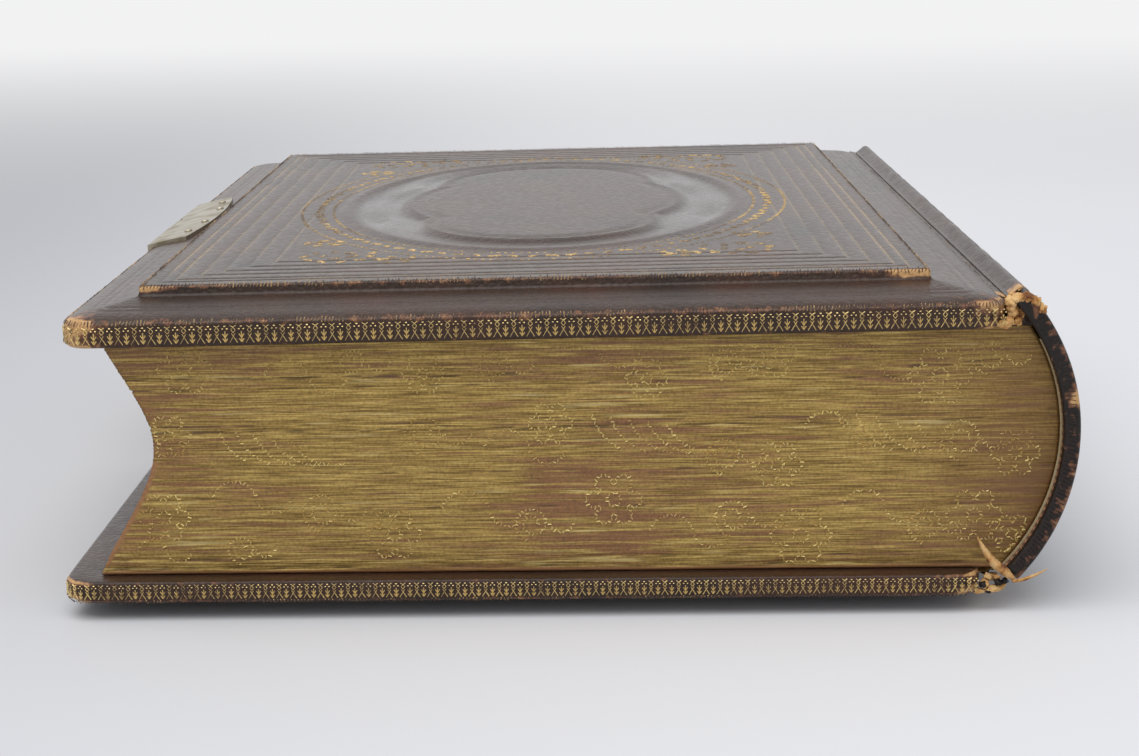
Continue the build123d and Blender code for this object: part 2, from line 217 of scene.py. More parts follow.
# ---- Cover leathers ----
# Each cover is one skin of dark brown goatskin, pared and drawn wet over the boards: over the
# raised panel, down the bevel, round the edge and 14 mm in on the inner face. It is glazed on
# top, blocked in gold and in blind, and rubbed to bare tan hide along its ridges and corners.
mm = 0.001
lower_low, lower_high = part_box("lower_leather")
upper_low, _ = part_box("upper_leather")
half_width = (lower_high.x - lower_low.x) / 2 / mm
half_length = (lower_high.y - lower_low.y) / 2 / mm
cover_corner = 7.0
strip_width = 6.5
bevel_width = 11.8
panel_inset = strip_width + bevel_width
turn_in = 14.0
skin = 1.0
fillets = [5.0, 8.5, 14.5, 20.0, 26.0, 32.5]
cover_tilt = math.radians(0.65)
upper_edge = 6.9
lower_edge = 5.9
lower_relief = 5.2

upper_middle_x = upper_low.x + half_width * mm * math.cos(cover_tilt)
upper_ridge_z = upper_low.z + (half_width * math.sin(cover_tilt) + upper_edge * math.cos(cover_tilt)) * mm
upper_place = Matrix.Translation((upper_middle_x, 0, upper_ridge_z)) @ Matrix.Rotation(-cover_tilt, 4, "Y")
lower_middle_x = (lower_low.x + lower_high.x) / 2
lower_place = Matrix.Translation((lower_middle_x, 0, lower_relief * mm)) @ Matrix.Rotation(math.pi, 4, "X")


def leather_finish(name, hide, gloss=0.4):
    """Glazed goatskin. Wear, gilding, and glaze with a painted pale sheen come from the mesh, broken up by
    the grain.
    """
    material, tree, surface, place = new_material(name)
    cloud = cloudy(tree, place, 38.0, 5.0)
    fine = cloudy(tree, place, 420.0, 4.0)
    grit = cloudy(tree, place, 1500.0, 2.0)
    pebble_inputs = {"Vector": place, "Scale": 850.0, "Smoothness": 0.6}
    pebble = add_node(tree, "ShaderNodeTexVoronoi", pebble_inputs, feature="SMOOTH_F1").outputs["Distance"]
    wear = mesh_value(tree, "wear")
    gilding = mesh_value(tree, "gilding")
    dark = tuple(channel * 0.55 for channel in hide[:3]) + (1.0,)
    red = (hide[0] * 1.35, hide[1] * 1.02, hide[2] * 0.92, 1.0)
    colour = add_ramp(tree, cloud, [(0.3, dark), (0.52, hide), (0.72, red)])
    pits = add_ramp(tree, pebble, [(0.25, (1, 1, 1, 1)), (0.75, (0.5, 0.45, 0.42, 1))])
    colour = mix_colour(tree, 0.55, colour, pits, "MULTIPLY")
    broken = calculate(tree, "ADD", wear, multiply(tree, fine, 1.1))
    broken = calculate(tree, "SUBTRACT", broken, 0.55)
    rubbed = remap(tree, broken, 0.28, 0.42)
    scuffed = remap(tree, broken, 0.48, 0.68)
    red_hide = mix_colour(tree, fine, tint(84, 50, 36), tint(126, 86, 60))
    bare_hide = mix_colour(tree, grit, tint(208, 170, 118), tint(176, 130, 84))
    colour = mix_colour(tree, rubbed, colour, red_hide)
    colour = mix_colour(tree, scuffed, colour, bare_hide)
    kept = remap(tree, grit, 0.36, 0.55)
    kept_far = remap(tree, cloud, 0.3, 0.5)
    leaf = multiply(tree, gilding, multiply(tree, kept, kept_far))
    colour = mix_colour(tree, leaf, colour, tint(186, 152, 92))
    rough = remap(tree, fine, 0.3, 0.7, gloss - 0.06, gloss + 0.1)
    rough = calculate(tree, "ADD", rough, multiply(tree, scuffed, 0.35))
    # Where the mesh carries glaze, the hide is painted pale grey, which is a painted sheen, and made a little
    # smoother, which is a real glaze.
    glaze_and_painted_sheen = mesh_value(tree, "glaze_and_painted_sheen")
    colour = mix_colour(tree, multiply(tree, glaze_and_painted_sheen, 0.36), colour, tint(140, 141, 141))
    rough = calculate(tree, "SUBTRACT", rough, multiply(tree, glaze_and_painted_sheen, 0.12))
    height = multiply(tree, pebble, -0.6)
    height = calculate(tree, "ADD", height, multiply(tree, fine, 0.5))
    add_surface(tree, surface, colour, rough, (0.85, 0.0006, height), {
        "Metallic": multiply(tree, leaf, 0.6),
        "IOR": 1.28,
        "Coat Weight": 0.7,
        "Coat IOR": 1.28,
        "Coat Roughness": 0.3,
    })
    return material


def soft_step(low, high, value):
    """A smooth rise from 0 to 1 between two values."""
    part = np.clip((value - low) / (high - low), 0, 1)
    return part * part * (3 - 2 * part)


def ripple(points, size, seed):
    """Smooth noise from -1 to 1 at each point, in lumps of about one size."""
    shift = Vector((seed * 7.3, seed * 3.1, seed * 5.7))
    return np.array([noise.noise(Vector(point) / size + shift) for point in points])


def link_piece(name, points, faces, material, attributes=None, smooth=True):
    """A mesh object from points in metres in the book's frame, with its point attributes."""
    mesh = bpy.data.meshes.new(name)
    mesh.from_pydata([tuple(point) for point in points], [], faces)
    for key, values in (attributes or {}).items():
        layer = mesh.attributes.new(key, "FLOAT", "POINT")
        layer.data.foreach_set("value", np.asarray(values, dtype=np.float32))
    if smooth:
        mesh.shade_smooth()
    mesh.materials.append(material)
    piece = bpy.data.objects.new(name, mesh)
    scene.collection.objects.link(piece)
    return piece


def in_frame(place, local):
    """Local points in millimetres, placed in the book's frame in metres."""
    turn = np.array(place.to_3x3())
    return np.asarray(local) * mm @ turn.T + np.array(place.translation)


def tooling_lines(reach, panel_half, busy, step):
    """Places across the panel: close at each fillet, even over the middle, wider between."""
    beside = (-0.55, -0.22, 0.22, 0.55)
    lines = [panel_half - fillet + offset for fillet in fillets for offset in beside]
    for line in [*np.arange(0, busy, step), *np.arange(busy, reach - 0.4, 2 * step)]:
        if all(abs(line - other) > 0.4 * step for other in lines):
            lines.append(line)
    lines = sorted(line for line in [*lines, reach] if line <= reach)
    return np.array([-line for line in reversed(lines) if line > 0.01] + lines)


def cover_rings(edge, strip_rise, bevel_rise, panel_rise):
    """Steps from the panel's rim outwards and back under: inset, height and wear."""
    top = strip_rise + bevel_rise + panel_rise
    foot = strip_rise + bevel_rise
    rings = [
        (panel_inset + 0.5, top - 0.04, 0.20),
        (panel_inset + 0.2, top - 0.22, 0.34),
        (panel_inset, top - 0.6, 0.22),
        (panel_inset - 0.1, foot + 0.8, 0.0),
        (panel_inset - 0.4, foot + 0.12, 0.0),
    ]
    grooves = {13.2: 0.0, 9.6: 0.12, strip_width + 0.5: 0.16, strip_width: 0.0}
    for inset in (17.0, 15.5, 13.6, 13.2, 12.8, 11.2, 10.0, 9.6, 9.2, 7.7, 7.0, 6.5):
        slope_height = strip_rise + bevel_rise * (inset - strip_width) / bevel_width
        rings.append((inset, slope_height - grooves.get(inset, 0.0), 0.05))
    for inset in (6.1, 5.6, 4.6, 3.4, 2.2, 1.3):
        cushion = 0.28 * math.sin(math.pi * inset / strip_width)
        wear = 0.06 if inset > 2 else 0.2
        rings.append((inset, strip_rise * inset / strip_width + cushion, wear))
    rings += [
        (0.75, 0.10, 0.26),
        (0.35, -0.10, 0.34),
        (0.08, -0.48, 0.26),
        (0.0, -1.1, 0.16),
        (0.0, -0.5 * edge, 0.02),
        (0.0, -edge + 1.0, 0.10),
        (0.12, -edge + 0.45, 0.22),
        (0.45, -edge + 0.1, 0.16),
        (1.0, -edge, 0.04),
        (5.0, -edge, 0.0),
        (turn_in - 0.3, -edge, 0.0),
        (turn_in, -edge + 0.1, 0.0),
        (turn_in, -edge + skin, 0.0),
        (skin, -edge + skin, 0.0),
        (skin, -skin, 0.0),
        (strip_width + skin, strip_rise - skin, 0.0),
        (panel_inset + skin, foot - skin, 0.0),
        (panel_inset + skin, top - skin, 0.0),
    ]
    return rings


def cover_skin(name, place, edge, rises, relief, corner_wear, material):
    """One cover's leather: a fine grid on the panel, then rings down and round to its inside."""
    panel_top = sum(rises)
    rim = panel_inset + 0.9
    across = tooling_lines(half_width - rim, half_width - panel_inset, 72, 1.4)
    along = tooling_lines(half_length - rim, half_length - panel_inset, 104, 1.5)
    columns, rows = len(across), len(along)
    u, v = np.meshgrid(across, along)
    from_rim = np.minimum(half_width - panel_inset - abs(u), half_length - panel_inset - abs(v))
    tooled = np.zeros(u.shape)
    for fillet in fillets:
        tooled = np.maximum(tooled, (abs(from_rim - fillet) < 0.3) * (0.62 if fillet < 9 else 0.34))
    # The second share is the glaze, which also carries a painted pale sheen.
    heights, glazed_and_painted_sheen = relief(u, v)
    w = panel_top + heights - 0.16 * (tooled > 0)
    local = [np.stack([u, v, w], axis=-1).reshape(-1, 3)]
    wear = [np.where(from_rim < 1.6, 0.12, 0.0).reshape(-1)]
    gilding = [tooled.reshape(-1)]
    glaze_and_painted_sheen = [glazed_and_painted_sheen.reshape(-1)]
    index = np.arange(columns * rows).reshape(rows, columns)
    faces = []
    for row in range(rows - 1):
        for column in range(columns - 1):
            near, far = index[row], index[row + 1]
            faces.append((near[column], near[column + 1], far[column + 1], far[column]))
    rim_loop = np.concatenate([index[0, :-1], index[:-1, -1], index[-1, :0:-1], index[:0:-1, 0]])
    shares = local[0][rim_loop, :2] / np.array([across[-1], along[-1]])
    count = len(rim_loop)
    last = rim_loop
    start = columns * rows
    for inset, height, ring_wear in cover_rings(edge, *rises):
        reach = np.array([half_width - inset, half_length - inset])
        radius = max(cover_corner * (1 - inset / panel_inset), 0.3)
        flat = shares * reach
        over = np.maximum(abs(flat) - (reach - radius), 0)
        length = np.linalg.norm(over, axis=1)
        longest = over.max(axis=1)
        squeeze = np.where(length > 0, longest / np.maximum(length, 1e-9), 1.0)
        flat = np.sign(flat) * (np.minimum(abs(flat), reach - radius) + over * squeeze[:, None])
        cornering = soft_step(14, 0, np.linalg.norm(abs(flat) - reach, axis=1))
        lumps = ripple(np.column_stack([flat, np.full(count, height)]), 9.0, 1)
        on_ridge = ring_wear > 0.15
        loss = 0.16 * lumps * on_ridge + 0.5 * cornering * on_ridge
        outward = flat / np.maximum(np.linalg.norm(flat, axis=1), 1e-9)[:, None]
        flat = flat - outward * np.maximum(loss, 0)[:, None] * (inset < 1)
        ring = np.column_stack([flat, height - np.maximum(loss, 0) * 0.6 * (height > -1)])
        local.append(ring)
        patches = ripple(np.column_stack([flat, np.zeros(count)]), 26.0, 2)
        kept_side = 1 - 0.7 * (flat[:, 0] > half_width - 2) * (abs(flat[:, 1]) < half_length - 10)
        extra = corner_wear(flat[:, 0], flat[:, 1], height) if inset < turn_in or height > 1 else 0
        wear.append(ring_wear * kept_side * (1 + 0.5 * patches) + extra + 0.35 * cornering * on_ridge)
        gilding.append(np.zeros(count))
        glaze_and_painted_sheen.append(np.zeros(count))
        this = np.arange(start, start + count)
        for step in range(count):
            after = (step + 1) % count
            faces.append((last[step], this[step], this[after], last[after]))
        last = this
        start += count
    faces.append(tuple(last[::-1]))
    points = in_frame(place, np.concatenate(local))
    looks = {"wear": np.concatenate(wear), "gilding": np.concatenate(gilding), "glaze_and_painted_sheen": np.concatenate(glaze_and_painted_sheen)}
    return link_piece(name, points, [tuple(int(i) for i in face) for face in faces], material, looks)


oval_half_u = 67.5
oval_half_v = 99.0


def medallion(u, v):
    """The blocked centre: a moulded oval frame round a smooth lobed field, with its share of glaze and
    painted pale sheen.
    """
    oval = np.hypot(u / oval_half_u, v / oval_half_v)
    inside = (1 - oval) * 78
    side_lobe = (np.hypot(u / 46, v / 58) - 1) * 50
    end_lobe = (np.hypot(u / 37, (abs(v) - 44) / 37) - 1) * 37
    field = np.minimum(side_lobe, end_lobe)
    bead = 0.6 * np.exp(-((inside - 1.5) / 2.2) ** 2)
    channel = soft_step(1.0, 9, inside) * soft_step(0.0, 6.5, field)
    middle = 0.9 * np.exp(-((field - 11) / 4.5) ** 2) * channel
    rim = 0.6 * np.exp(-((field - 0.2) / 1.5) ** 2)
    pillow = 0.6 * soft_step(0, -7, field)
    # The glaze and its painted pale sheen are strongest on the frame's left and right sides and at its cusps.
    sides = soft_step(0.4, 0.85, abs(u) / np.maximum(np.hypot(u, v * 0.68), 1e-6))
    cusps = np.exp(-(((abs(u) - 38) / 10) ** 2) - (((abs(v) - 50) / 11) ** 2)) * soft_step(0, 3, field)
    puffs = 0.72 + 0.28 * np.cos(v * 0.15)
    glaze_and_painted_sheen_share = np.maximum(soft_step(0.1, 0.9, channel) * (0.24 + 0.76 * sides * puffs), cusps)
    return bead + rim + pillow + middle - 1.0 * channel, glaze_and_painted_sheen_share


def sunk_oval(u, v):
    """The plain cover's centre, blocked in blind and a little below its panel."""
    heights, _ = medallion(u, v)
    inside = soft_step(1.12, 1.0, np.hypot(u / oval_half_u, v / oval_half_v))
    return np.minimum(heights - 1.6, 0) * 0.6 * inside, np.zeros(u.shape)


def upper_corner_wear(u, v, height):
    """Bare hide at the upper cover's corners, most at the tail and fore edge."""
    near_fore = np.exp(-((u + half_width) ** 2 + (v + half_length) ** 2) / 9.0**2)
    near_spine = np.exp(-((u - half_width) ** 2 + (v + half_length) ** 2) / 14.0**2)
    panel_corner = np.exp(-((u - 105) ** 2 + (v + 141) ** 2) / 7.0**2) * (height > 4)
    panel_fore = np.exp(-((u + 107) ** 2 + (v + 141) ** 2) / 3.0**2) * (height > 4)
    far = np.exp(-((u + half_width) ** 2 + (v - half_length) ** 2) / 8.0**2)
    return 0.75 * near_fore + 0.3 * near_spine + 0.8 * panel_corner + 0.6 * panel_fore + 0.5 * far


def lower_corner_wear(u, v, height):
    """Bare hide at the lower cover's corners, the same at every height."""
    distance = np.hypot(abs(u) - half_width, abs(v) - half_length)
    return 0.35 * np.exp(-(distance / 6.0) ** 2)


glazed_hide = leather_finish("glazed_goatskin", tint(60, 41, 30))
upper_rises = (1.8, 1.9, 2.8)
lower_rises = (1.4, 1.4, 2.4)
upper_cover = cover_skin(
    "upper_cover_leather", upper_place, upper_edge, upper_rises, medallion, upper_corner_wear, glazed_hide)
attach(upper_cover, "upper_cover")
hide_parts("upper_leather")
lower_cover = cover_skin(
    "lower_cover_leather", lower_place, lower_edge, lower_rises, sunk_oval, lower_corner_wear, glazed_hide)
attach(lower_cover, "lower_cover")
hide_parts("lower_leather")

# ---- Edge rolls ----
# The three free edges of each board carry a gold roll: a saltire under a small lozenge, then a
# sprig, over and over. Each line of it is a low ridge of leaf pressed into the leather.


def stroke(x0, y0, x1, y1, width, rise):
    """One low ridge from end to end: its points and its faces, standing on local Z = 0."""
    length = math.hypot(x1 - x0, y1 - y0)
    side_x = -(y1 - y0) / length * width / 2
    side_y = (x1 - x0) / length * width / 2
    points = [
        (x0 + side_x, y0 + side_y, -rise), (x0 - side_x, y0 - side_y, -rise),
        (x1 - side_x, y1 - side_y, -rise), (x1 + side_x, y1 + side_y, -rise),
        (x0, y0, rise), (x1, y1, rise),
    ]
    return points, [(0, 1, 2, 3), (0, 4, 1), (2, 5, 3), (1, 4, 5, 2), (3, 5, 4, 0)]


def stamp_from(name, strokes, width, rise):
    """A small stamp made of strokes, in millimetres, as a mesh object in metres."""
    points, faces = [], []
    for ends in strokes:
        new_points, new_faces = stroke(*ends, width, rise)
        faces += [tuple(index + len(points) for index in face) for face in new_faces]
        points += new_points
    mesh = bpy.data.meshes.new(name)
    mesh.from_pydata([tuple(value * mm for value in point) for point in points], [], faces)
    stamp = bpy.data.objects.new(name, mesh)
    scene.collection.objects.link(stamp)
    return stamp


def random_between(tree, low, high, seed):
    """A random number between two, one for each stamp."""
    inputs = {2: low, 3: high, "Seed": seed}
    return add_node(tree, "FunctionNodeRandomValue", inputs, data_type="FLOAT").outputs[1]


def stamping_tree():
    """Stamps set at even steps along every line of a mesh, turned to the line and to its face."""
    tree = bpy.data.node_groups.new("stamping", "GeometryNodeTree")
    kinds = {
        "Geometry": "Geometry", "Stamp": "Object", "Spacing": "Float", "Twist": "Float", "Jitter": "Float",
        "Smallest": "Float", "Largest": "Float", "Seed": "Int", "Finish": "Material",
    }
    for label, kind in kinds.items():
        tree.interface.new_socket(label, in_out="INPUT", socket_type="NodeSocket" + kind)
    tree.interface.new_socket("Geometry", in_out="OUTPUT", socket_type="NodeSocketGeometry")
    given = tree.nodes.new("NodeGroupInput").outputs
    lines = add_node(tree, "GeometryNodeMeshToCurve", {0: given["Geometry"]})
    spacing = {"Curve": lines.outputs[0], "Length": given["Spacing"]}
    spots = add_node(tree, "GeometryNodeCurveToPoints", spacing, mode="LENGTH")
    outward = add_node(tree, "GeometryNodeInputNamedAttribute", {"Name": "out"}, data_type="FLOAT_VECTOR")
    align = "FunctionNodeAlignRotationToVector"
    along = add_node(tree, align, {"Vector": spots.outputs["Tangent"]}, axis="X")
    outwards = {"Rotation": along.outputs[0], "Vector": outward.outputs["Attribute"]}
    facing = add_node(tree, align, outwards, axis="Z", pivot_axis="X")
    number = add_node(tree, "GeometryNodeInputIndex").outputs[0]
    odd = calculate(tree, "MODULO", number, 2.0)
    side = calculate(tree, "SUBTRACT", multiply(tree, odd, 2.0), 1.0)
    wobble = multiply(tree, random_between(tree, -1.0, 1.0, given["Seed"]), given["Jitter"])
    angle = calculate(tree, "ADD", multiply(tree, side, given["Twist"]), wobble)
    turn = add_node(tree, "ShaderNodeCombineXYZ", {"Z": angle})
    euler = add_node(tree, "FunctionNodeEulerToRotation", {0: turn.outputs[0]})
    turns = {0: facing.outputs[0], 1: euler.outputs[0]}
    turned = add_node(tree, "FunctionNodeRotateRotation", turns, rotation_space="LOCAL")
    size = random_between(tree, given["Smallest"], given["Largest"], given["Seed"])
    stamp = add_node(tree, "GeometryNodeObjectInfo", {"Object": given["Stamp"]})
    placed = add_node(tree, "GeometryNodeInstanceOnPoints", {
        "Points": spots.outputs["Points"],
        "Instance": stamp.outputs["Geometry"],
        "Rotation": turned.outputs[0],
        "Scale": size,
    })
    real = add_node(tree, "GeometryNodeRealizeInstances", {0: placed.outputs[0]})
    finish = {"Geometry": real.outputs[0], "Material": given["Finish"]}
    finished = add_node(tree, "GeometryNodeSetMaterial", finish)
    leaving = tree.nodes.new("NodeGroupOutput")
    tree.links.new(finished.outputs[0], leaving.inputs[0])
    return tree


stamping = stamping_tree()


def stamp_along(name, lines, stamp, material, body, spacing, twist=0.0, jitter=0.0, sizes=(1, 1), seed=1):
    """Stamps in metres along lines of (points, outward directions), as one finished mesh."""
    points = np.concatenate([line[0] for line in lines])
    outs = np.concatenate([line[1] for line in lines])
    edges, start = [], 0
    for line in lines:
        edges += [(start + step, start + step + 1) for step in range(len(line[0]) - 1)]
        start += len(line[0])
    mesh = bpy.data.meshes.new(name)
    mesh.from_pydata([tuple(point) for point in points], edges, [])
    layer = mesh.attributes.new("out", "FLOAT_VECTOR", "POINT")
    layer.data.foreach_set("vector", outs.astype(np.float32).ravel())
    piece = bpy.data.objects.new(name, mesh)
    scene.collection.objects.link(piece)
    modifier = piece.modifiers.new("stamping", "NODES")
    modifier.node_group = stamping
    values = {
        "Stamp": stamp, "Spacing": spacing, "Twist": twist, "Jitter": jitter,
        "Smallest": float(sizes[0]), "Largest": float(sizes[1]), "Seed": seed, "Finish": material,
    }
    for item in stamping.interface.items_tree:
        if item.in_out == "INPUT" and item.name in values:
            modifier[item.identifier] = values[item.name]
    bpy.context.view_layer.update()
    evaluated = piece.evaluated_get(bpy.context.evaluated_depsgraph_get())
    finished = bpy.data.meshes.new_from_object(evaluated)
    piece.modifiers.clear()
    piece.data = finished
    finished.name = name
    if not finished.materials:
        finished.materials.append(material)
    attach(piece, body)
    return piece


def gold_leaf_finish(name, bright, worn, keep):
    """Old gold leaf over leather or paper, rubbed through in places."""
    material, tree, surface, place = new_material(name)
    cloud = cloudy(tree, place, 60.0, 4.0)
    grit = cloudy(tree, place, 900.0, 3.0)
    share = calculate(tree, "ADD", multiply(tree, cloud, 0.5), multiply(tree, grit, 0.5))
    left = remap(tree, share, keep - 0.05, keep + 0.06)
    colour = mix_colour(tree, left, worn, bright)
    add_surface(tree, surface, colour, 0.42, (0.4, 0.0002, grit), {"Metallic": multiply(tree, left, 0.55)})
    return material


# Each stroke runs from x, y to x, y in millimetres, with X along the edge
roll_pitch = 4.4
roll_strokes = [
    (-1.7, 1.2, -1.1, 1.95), (-0.5, 1.2, -1.1, 1.95), (-1.7, 1.2, -1.1, 0.45), (-0.5, 1.2, -1.1, 0.45),
    (-2.15, -2.3, -0.6, 0.3), (-0.05, -2.3, -1.6, 0.3), (-1.9, 2.45, -1.1, 1.95), (-0.3, 2.45, -1.1, 1.95),
    (1.1, -2.1, 1.1, 0.9), (1.1, -2.1, 0.45, -1.1), (1.1, -2.1, 1.75, -1.1), (1.1, -0.9, 0.4, 0.2),
    (1.1, -0.9, 1.8, 0.2), (0.85, 2.2, 1.35, 2.2), (0.3, 1.5, 0.7, 1.5), (1.5, 1.5, 1.9, 1.5),
]
roll_stamp = stamp_from("edge_roll_stamp", roll_strokes, 0.42, 0.12)
edge_gold = gold_leaf_finish("edge_roll_gold", tint(212, 186, 126), tint(118, 92, 60), 0.42)


def edge_path(place, height):
    """The line round a board's three free edges, with the directions that face outwards."""
    reach = np.array([half_width, half_length])
    centre = reach - cover_corner
    spine_end = half_width - 3.0
    flat, outs = [(spine_end, -half_length)], [(0, -1)]
    for sign, first in ((-1, 270), (1, 180)):
        for turn in np.radians(np.linspace(first, first - 90, 9)):
            out = np.array([math.cos(turn), math.sin(turn)])
            flat.append((-centre[0] + cover_corner * out[0], sign * centre[1] + cover_corner * out[1]))
            outs.append(out)
    flat.append((spine_end, half_length))
    outs.append((0, 1))
    flat, outs = np.array(flat), np.array(outs)
    local = np.column_stack([flat + outs * 0.03, np.full(len(flat), height)])
    outs = np.column_stack([outs, np.zeros(len(flat))]) @ np.array(place.to_3x3()).T
    way = 1 if place is lower_place else -1
    return in_frame(place, local)[::way], outs[::way]


edge_rolls = (
    ("upper", upper_place, upper_edge, -0.53, 1.0),
    ("lower", lower_place, lower_edge, -0.5, 0.86),
)
for side, cover_place, edge, middle, scale in edge_rolls:
    line = edge_path(cover_place, edge * middle)
    roll = stamp_along(
        side + "_edge_roll", [line], roll_stamp, edge_gold, side + "_cover", roll_pitch * scale * mm,
        sizes=(scale, scale))

# ---- Panel tooling and rubbed ticks ----
# On the upper cover an oval of gold sprigs runs between two of dots, with scrolls in each corner.
# A hatched roll along both boards' edges and the upper panel's rim is rubbed to short pale ticks.


def panel_line(points):
    """A line on the upper panel's face, from local millimetres, with the way that it faces."""
    local = np.column_stack([points, np.full(len(points), panel_height)])
    facing = np.array(upper_place.to_3x3()) @ np.array((0.0, 0.0, 1.0))
    return in_frame(upper_place, local), np.tile(facing, (len(points), 1))


def oval_line(half_u, half_v):
    """An oval on the upper panel's face, about its middle."""
    turns = np.radians(np.linspace(0, 360, 97))
    return panel_line(np.column_stack([half_u * np.cos(turns), half_v * np.sin(turns)]))


panel_height = sum(upper_rises) + 0.02
sprig_strokes = [
    (-1.6, 0, 1.6, 0), (-1.4, 0, -0.4, 1.3), (-1.4, 0, -0.4, -1.3), (-0.1, 0, 0.9, 1.2),
    (-0.1, 0, 0.9, -1.2), (1.5, 0.5, 2.1, 0), (1.5, -0.5, 2.1, 0), (1.5, 0.5, 1.0, 0),
]
sprig = stamp_from("gold_sprig", sprig_strokes, 0.55, 0.1)
dot = stamp_from("gold_dot", [(-0.45, 0, 0.45, 0), (0, -0.45, 0, 0.45)], 0.5, 0.1)
tool_gold = gold_leaf_finish("tooled_gold", tint(206, 174, 116), tint(112, 92, 66), 0.5)
sprig_lines = [oval_line(76, 108)]
dot_lines = [oval_line(71.5, 103), oval_line(82, 114)]
turns = np.radians(np.linspace(0, 560, 60))
radii = np.linspace(3.0, 13.0, 60)
scroll = np.column_stack([radii * np.cos(turns), radii * np.sin(turns)])
scroll_places = ((60, 101, 0.9), (66, 78, 0.45), (42, 108, 0.45))
for side_u in (-1, 1):
    for side_v in (-1, 1):
        for middle_u, middle_v, share in scroll_places:
            spot = scroll * share * (side_u, side_v) + (side_u * middle_u, side_v * middle_v)
            sprig_lines.append(panel_line(spot))
sprigs = stamp_along(
    "panel_sprigs", sprig_lines, sprig, tool_gold, "upper_cover", 5.6 * mm,
    twist=math.radians(28), sizes=(0.8, 1.2))
dots = stamp_along("panel_dots", dot_lines, dot, tool_gold, "upper_cover", 2.3 * mm, sizes=(0.8, 1.3), seed=3)

tick = stamp_from("ridge_tick", [(-0.2, -0.75, 0.2, 0.75)], 0.32, 0.1)
rubbed_ticks = gold_leaf_finish("rubbed_ticks", tint(196, 164, 120), tint(70, 46, 34), 0.52)


def ridge_line(place, inset, height, corner):
    """A line round a cover at an inset, facing up and out, as one rounded rectangle."""
    reach = np.array([half_width - inset, half_length - inset])
    points, outs = [], []
    for sign_u, sign_v, first in ((1, 1, 0), (-1, 1, 90), (-1, -1, 180), (1, -1, 270)):
        for turn in np.radians(np.linspace(first, first + 90, 7)):
            points.append((sign_u * (reach[0] - corner) + corner * math.cos(turn),
                           sign_v * (reach[1] - corner) + corner * math.sin(turn), height))
            outs.append((math.cos(turn), math.sin(turn), 0.9))
    points.append(points[0])
    outs.append(outs[0])
    return in_frame(place, np.array(points)), np.array(outs) @ np.array(place.to_3x3()).T


for side, cover_place in (("upper", upper_place), ("lower", lower_place)):
    tick_lines = [ridge_line(cover_place, 0.42, -0.06, 6.6)]
    if side == "upper":
        tick_lines.append(ridge_line(cover_place, panel_inset + 0.25, sum(upper_rises) - 0.16, 0.5))
    ticks = stamp_along(
        side + "_ridge_ticks", tick_lines, tick, rubbed_ticks, side + "_cover", 0.95 * mm, jitter=0.35,
        sizes=(0.6, 1.2), seed=6)

# ---- Boards and pastedowns ----
# Each cover is built on grey millboard, with a second thinner board for the raised panel. Plain
# cream paper is pasted over the turned-in leather's opening on the inner face.


def fibre_finish(name, light, dark, scale, roughness, stretch=(1, 1, 1)):
    """Board, paper or cloth: a mottled colour with fine fibres standing in it."""
    material, tree, surface, place = new_material(name)
    drawn = stretched(tree, place, stretch)
    cloud = cloudy(tree, place, 22.0, 6.0)
    fibres = cloudy(tree, drawn, scale, 4.0)
    share = calculate(tree, "ADD", multiply(tree, cloud, 0.6), multiply(tree, fibres, 0.4))
    colour = add_ramp(tree, share, [(0.35, dark), (0.62, light)])
    add_surface(tree, surface, colour, roughness, (0.5, 0.0003, fibres))
    return material


def finish_node(name, material):
    """Give a piece that keeps its own shape its finish."""
    slots = nodes[name].data.materials
    slots.clear()
    slots.append(material)


millboard = fibre_finish("grey_millboard", tint(150, 132, 106), tint(104, 90, 70), 700.0, 0.9)
pasted_paper = fibre_finish("cream_pastedown", tint(226, 214, 184), tint(196, 178, 142), 900.0, 0.8)
for side in ("lower", "upper"):
    finish_node(side + "_board", millboard)
    finish_node(side + "_panel", millboard)
    finish_node(side + "_pastedown", pasted_paper)

# ---- Text block ----
# About six hundred leaves, sewn, rounded into the back and hollow at the fore edge. The three
# cut edges are gilt and burnished over leaves that no longer lie quite level.
block_low, block_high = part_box("text_block")
outline = np.array([vertex.co for vertex in nodes["text_block"].data.vertices])
outline = outline[outline[:, 1] < block_low.y + 0.01 * mm]
block_middle = (block_low.x + block_high.x) / 2
fore_side = outline[outline[:, 0] < block_middle]
back_side = outline[outline[:, 0] > block_middle]
fore_side = fore_side[np.argsort(fore_side[:, 2])]
back_side = back_side[np.argsort(back_side[:, 2])]
leaf_rows = 132


def leaf_steps(low, high, step, end_step, reach):
    """Places from low to high, closer together within reach of both ends."""
    marks = [0.0]
    total = high - low
    while marks[-1] < total - 1e-6:
        from_end = min(marks[-1], total - marks[-1])
        marks.append(marks[-1] + (end_step if from_end < reach else step))
    return low + np.array(marks) * total / marks[-1]


leaf_x = leaf_steps(0.0, 1.0, 0.0075, 0.0035, 0.05)
leaf_y = leaf_steps(block_low.y, block_high.y, 5.0 * mm, 1.6 * mm, 6 * mm)
level = np.linspace(0, 1, leaf_rows + 1)
fore_z = fore_side[0, 2] + level * (fore_side[-1, 2] - fore_side[0, 2])
fore_x = np.interp(fore_z, fore_side[:, 2], fore_side[:, 0])
even_z = back_side[0, 2] + level * (back_side[-1, 2] - back_side[0, 2])
fanned = np.sin((level - 0.5) * math.pi * 0.53) / (2 * math.sin(math.pi * 0.265)) + 0.5
back_z = back_side[0, 2] + fanned * (back_side[-1, 2] - back_side[0, 2])
back_x = np.interp(back_z, back_side[:, 2], back_side[:, 0])
random = np.random.default_rng(11)
row_height = random.normal(0, 0.03, leaf_rows + 1) + 0.07 * (np.arange(leaf_rows + 1) % 2)
gap_depth = np.where(random.random(leaf_rows + 1) < 0.07, 0.35, 0.0)
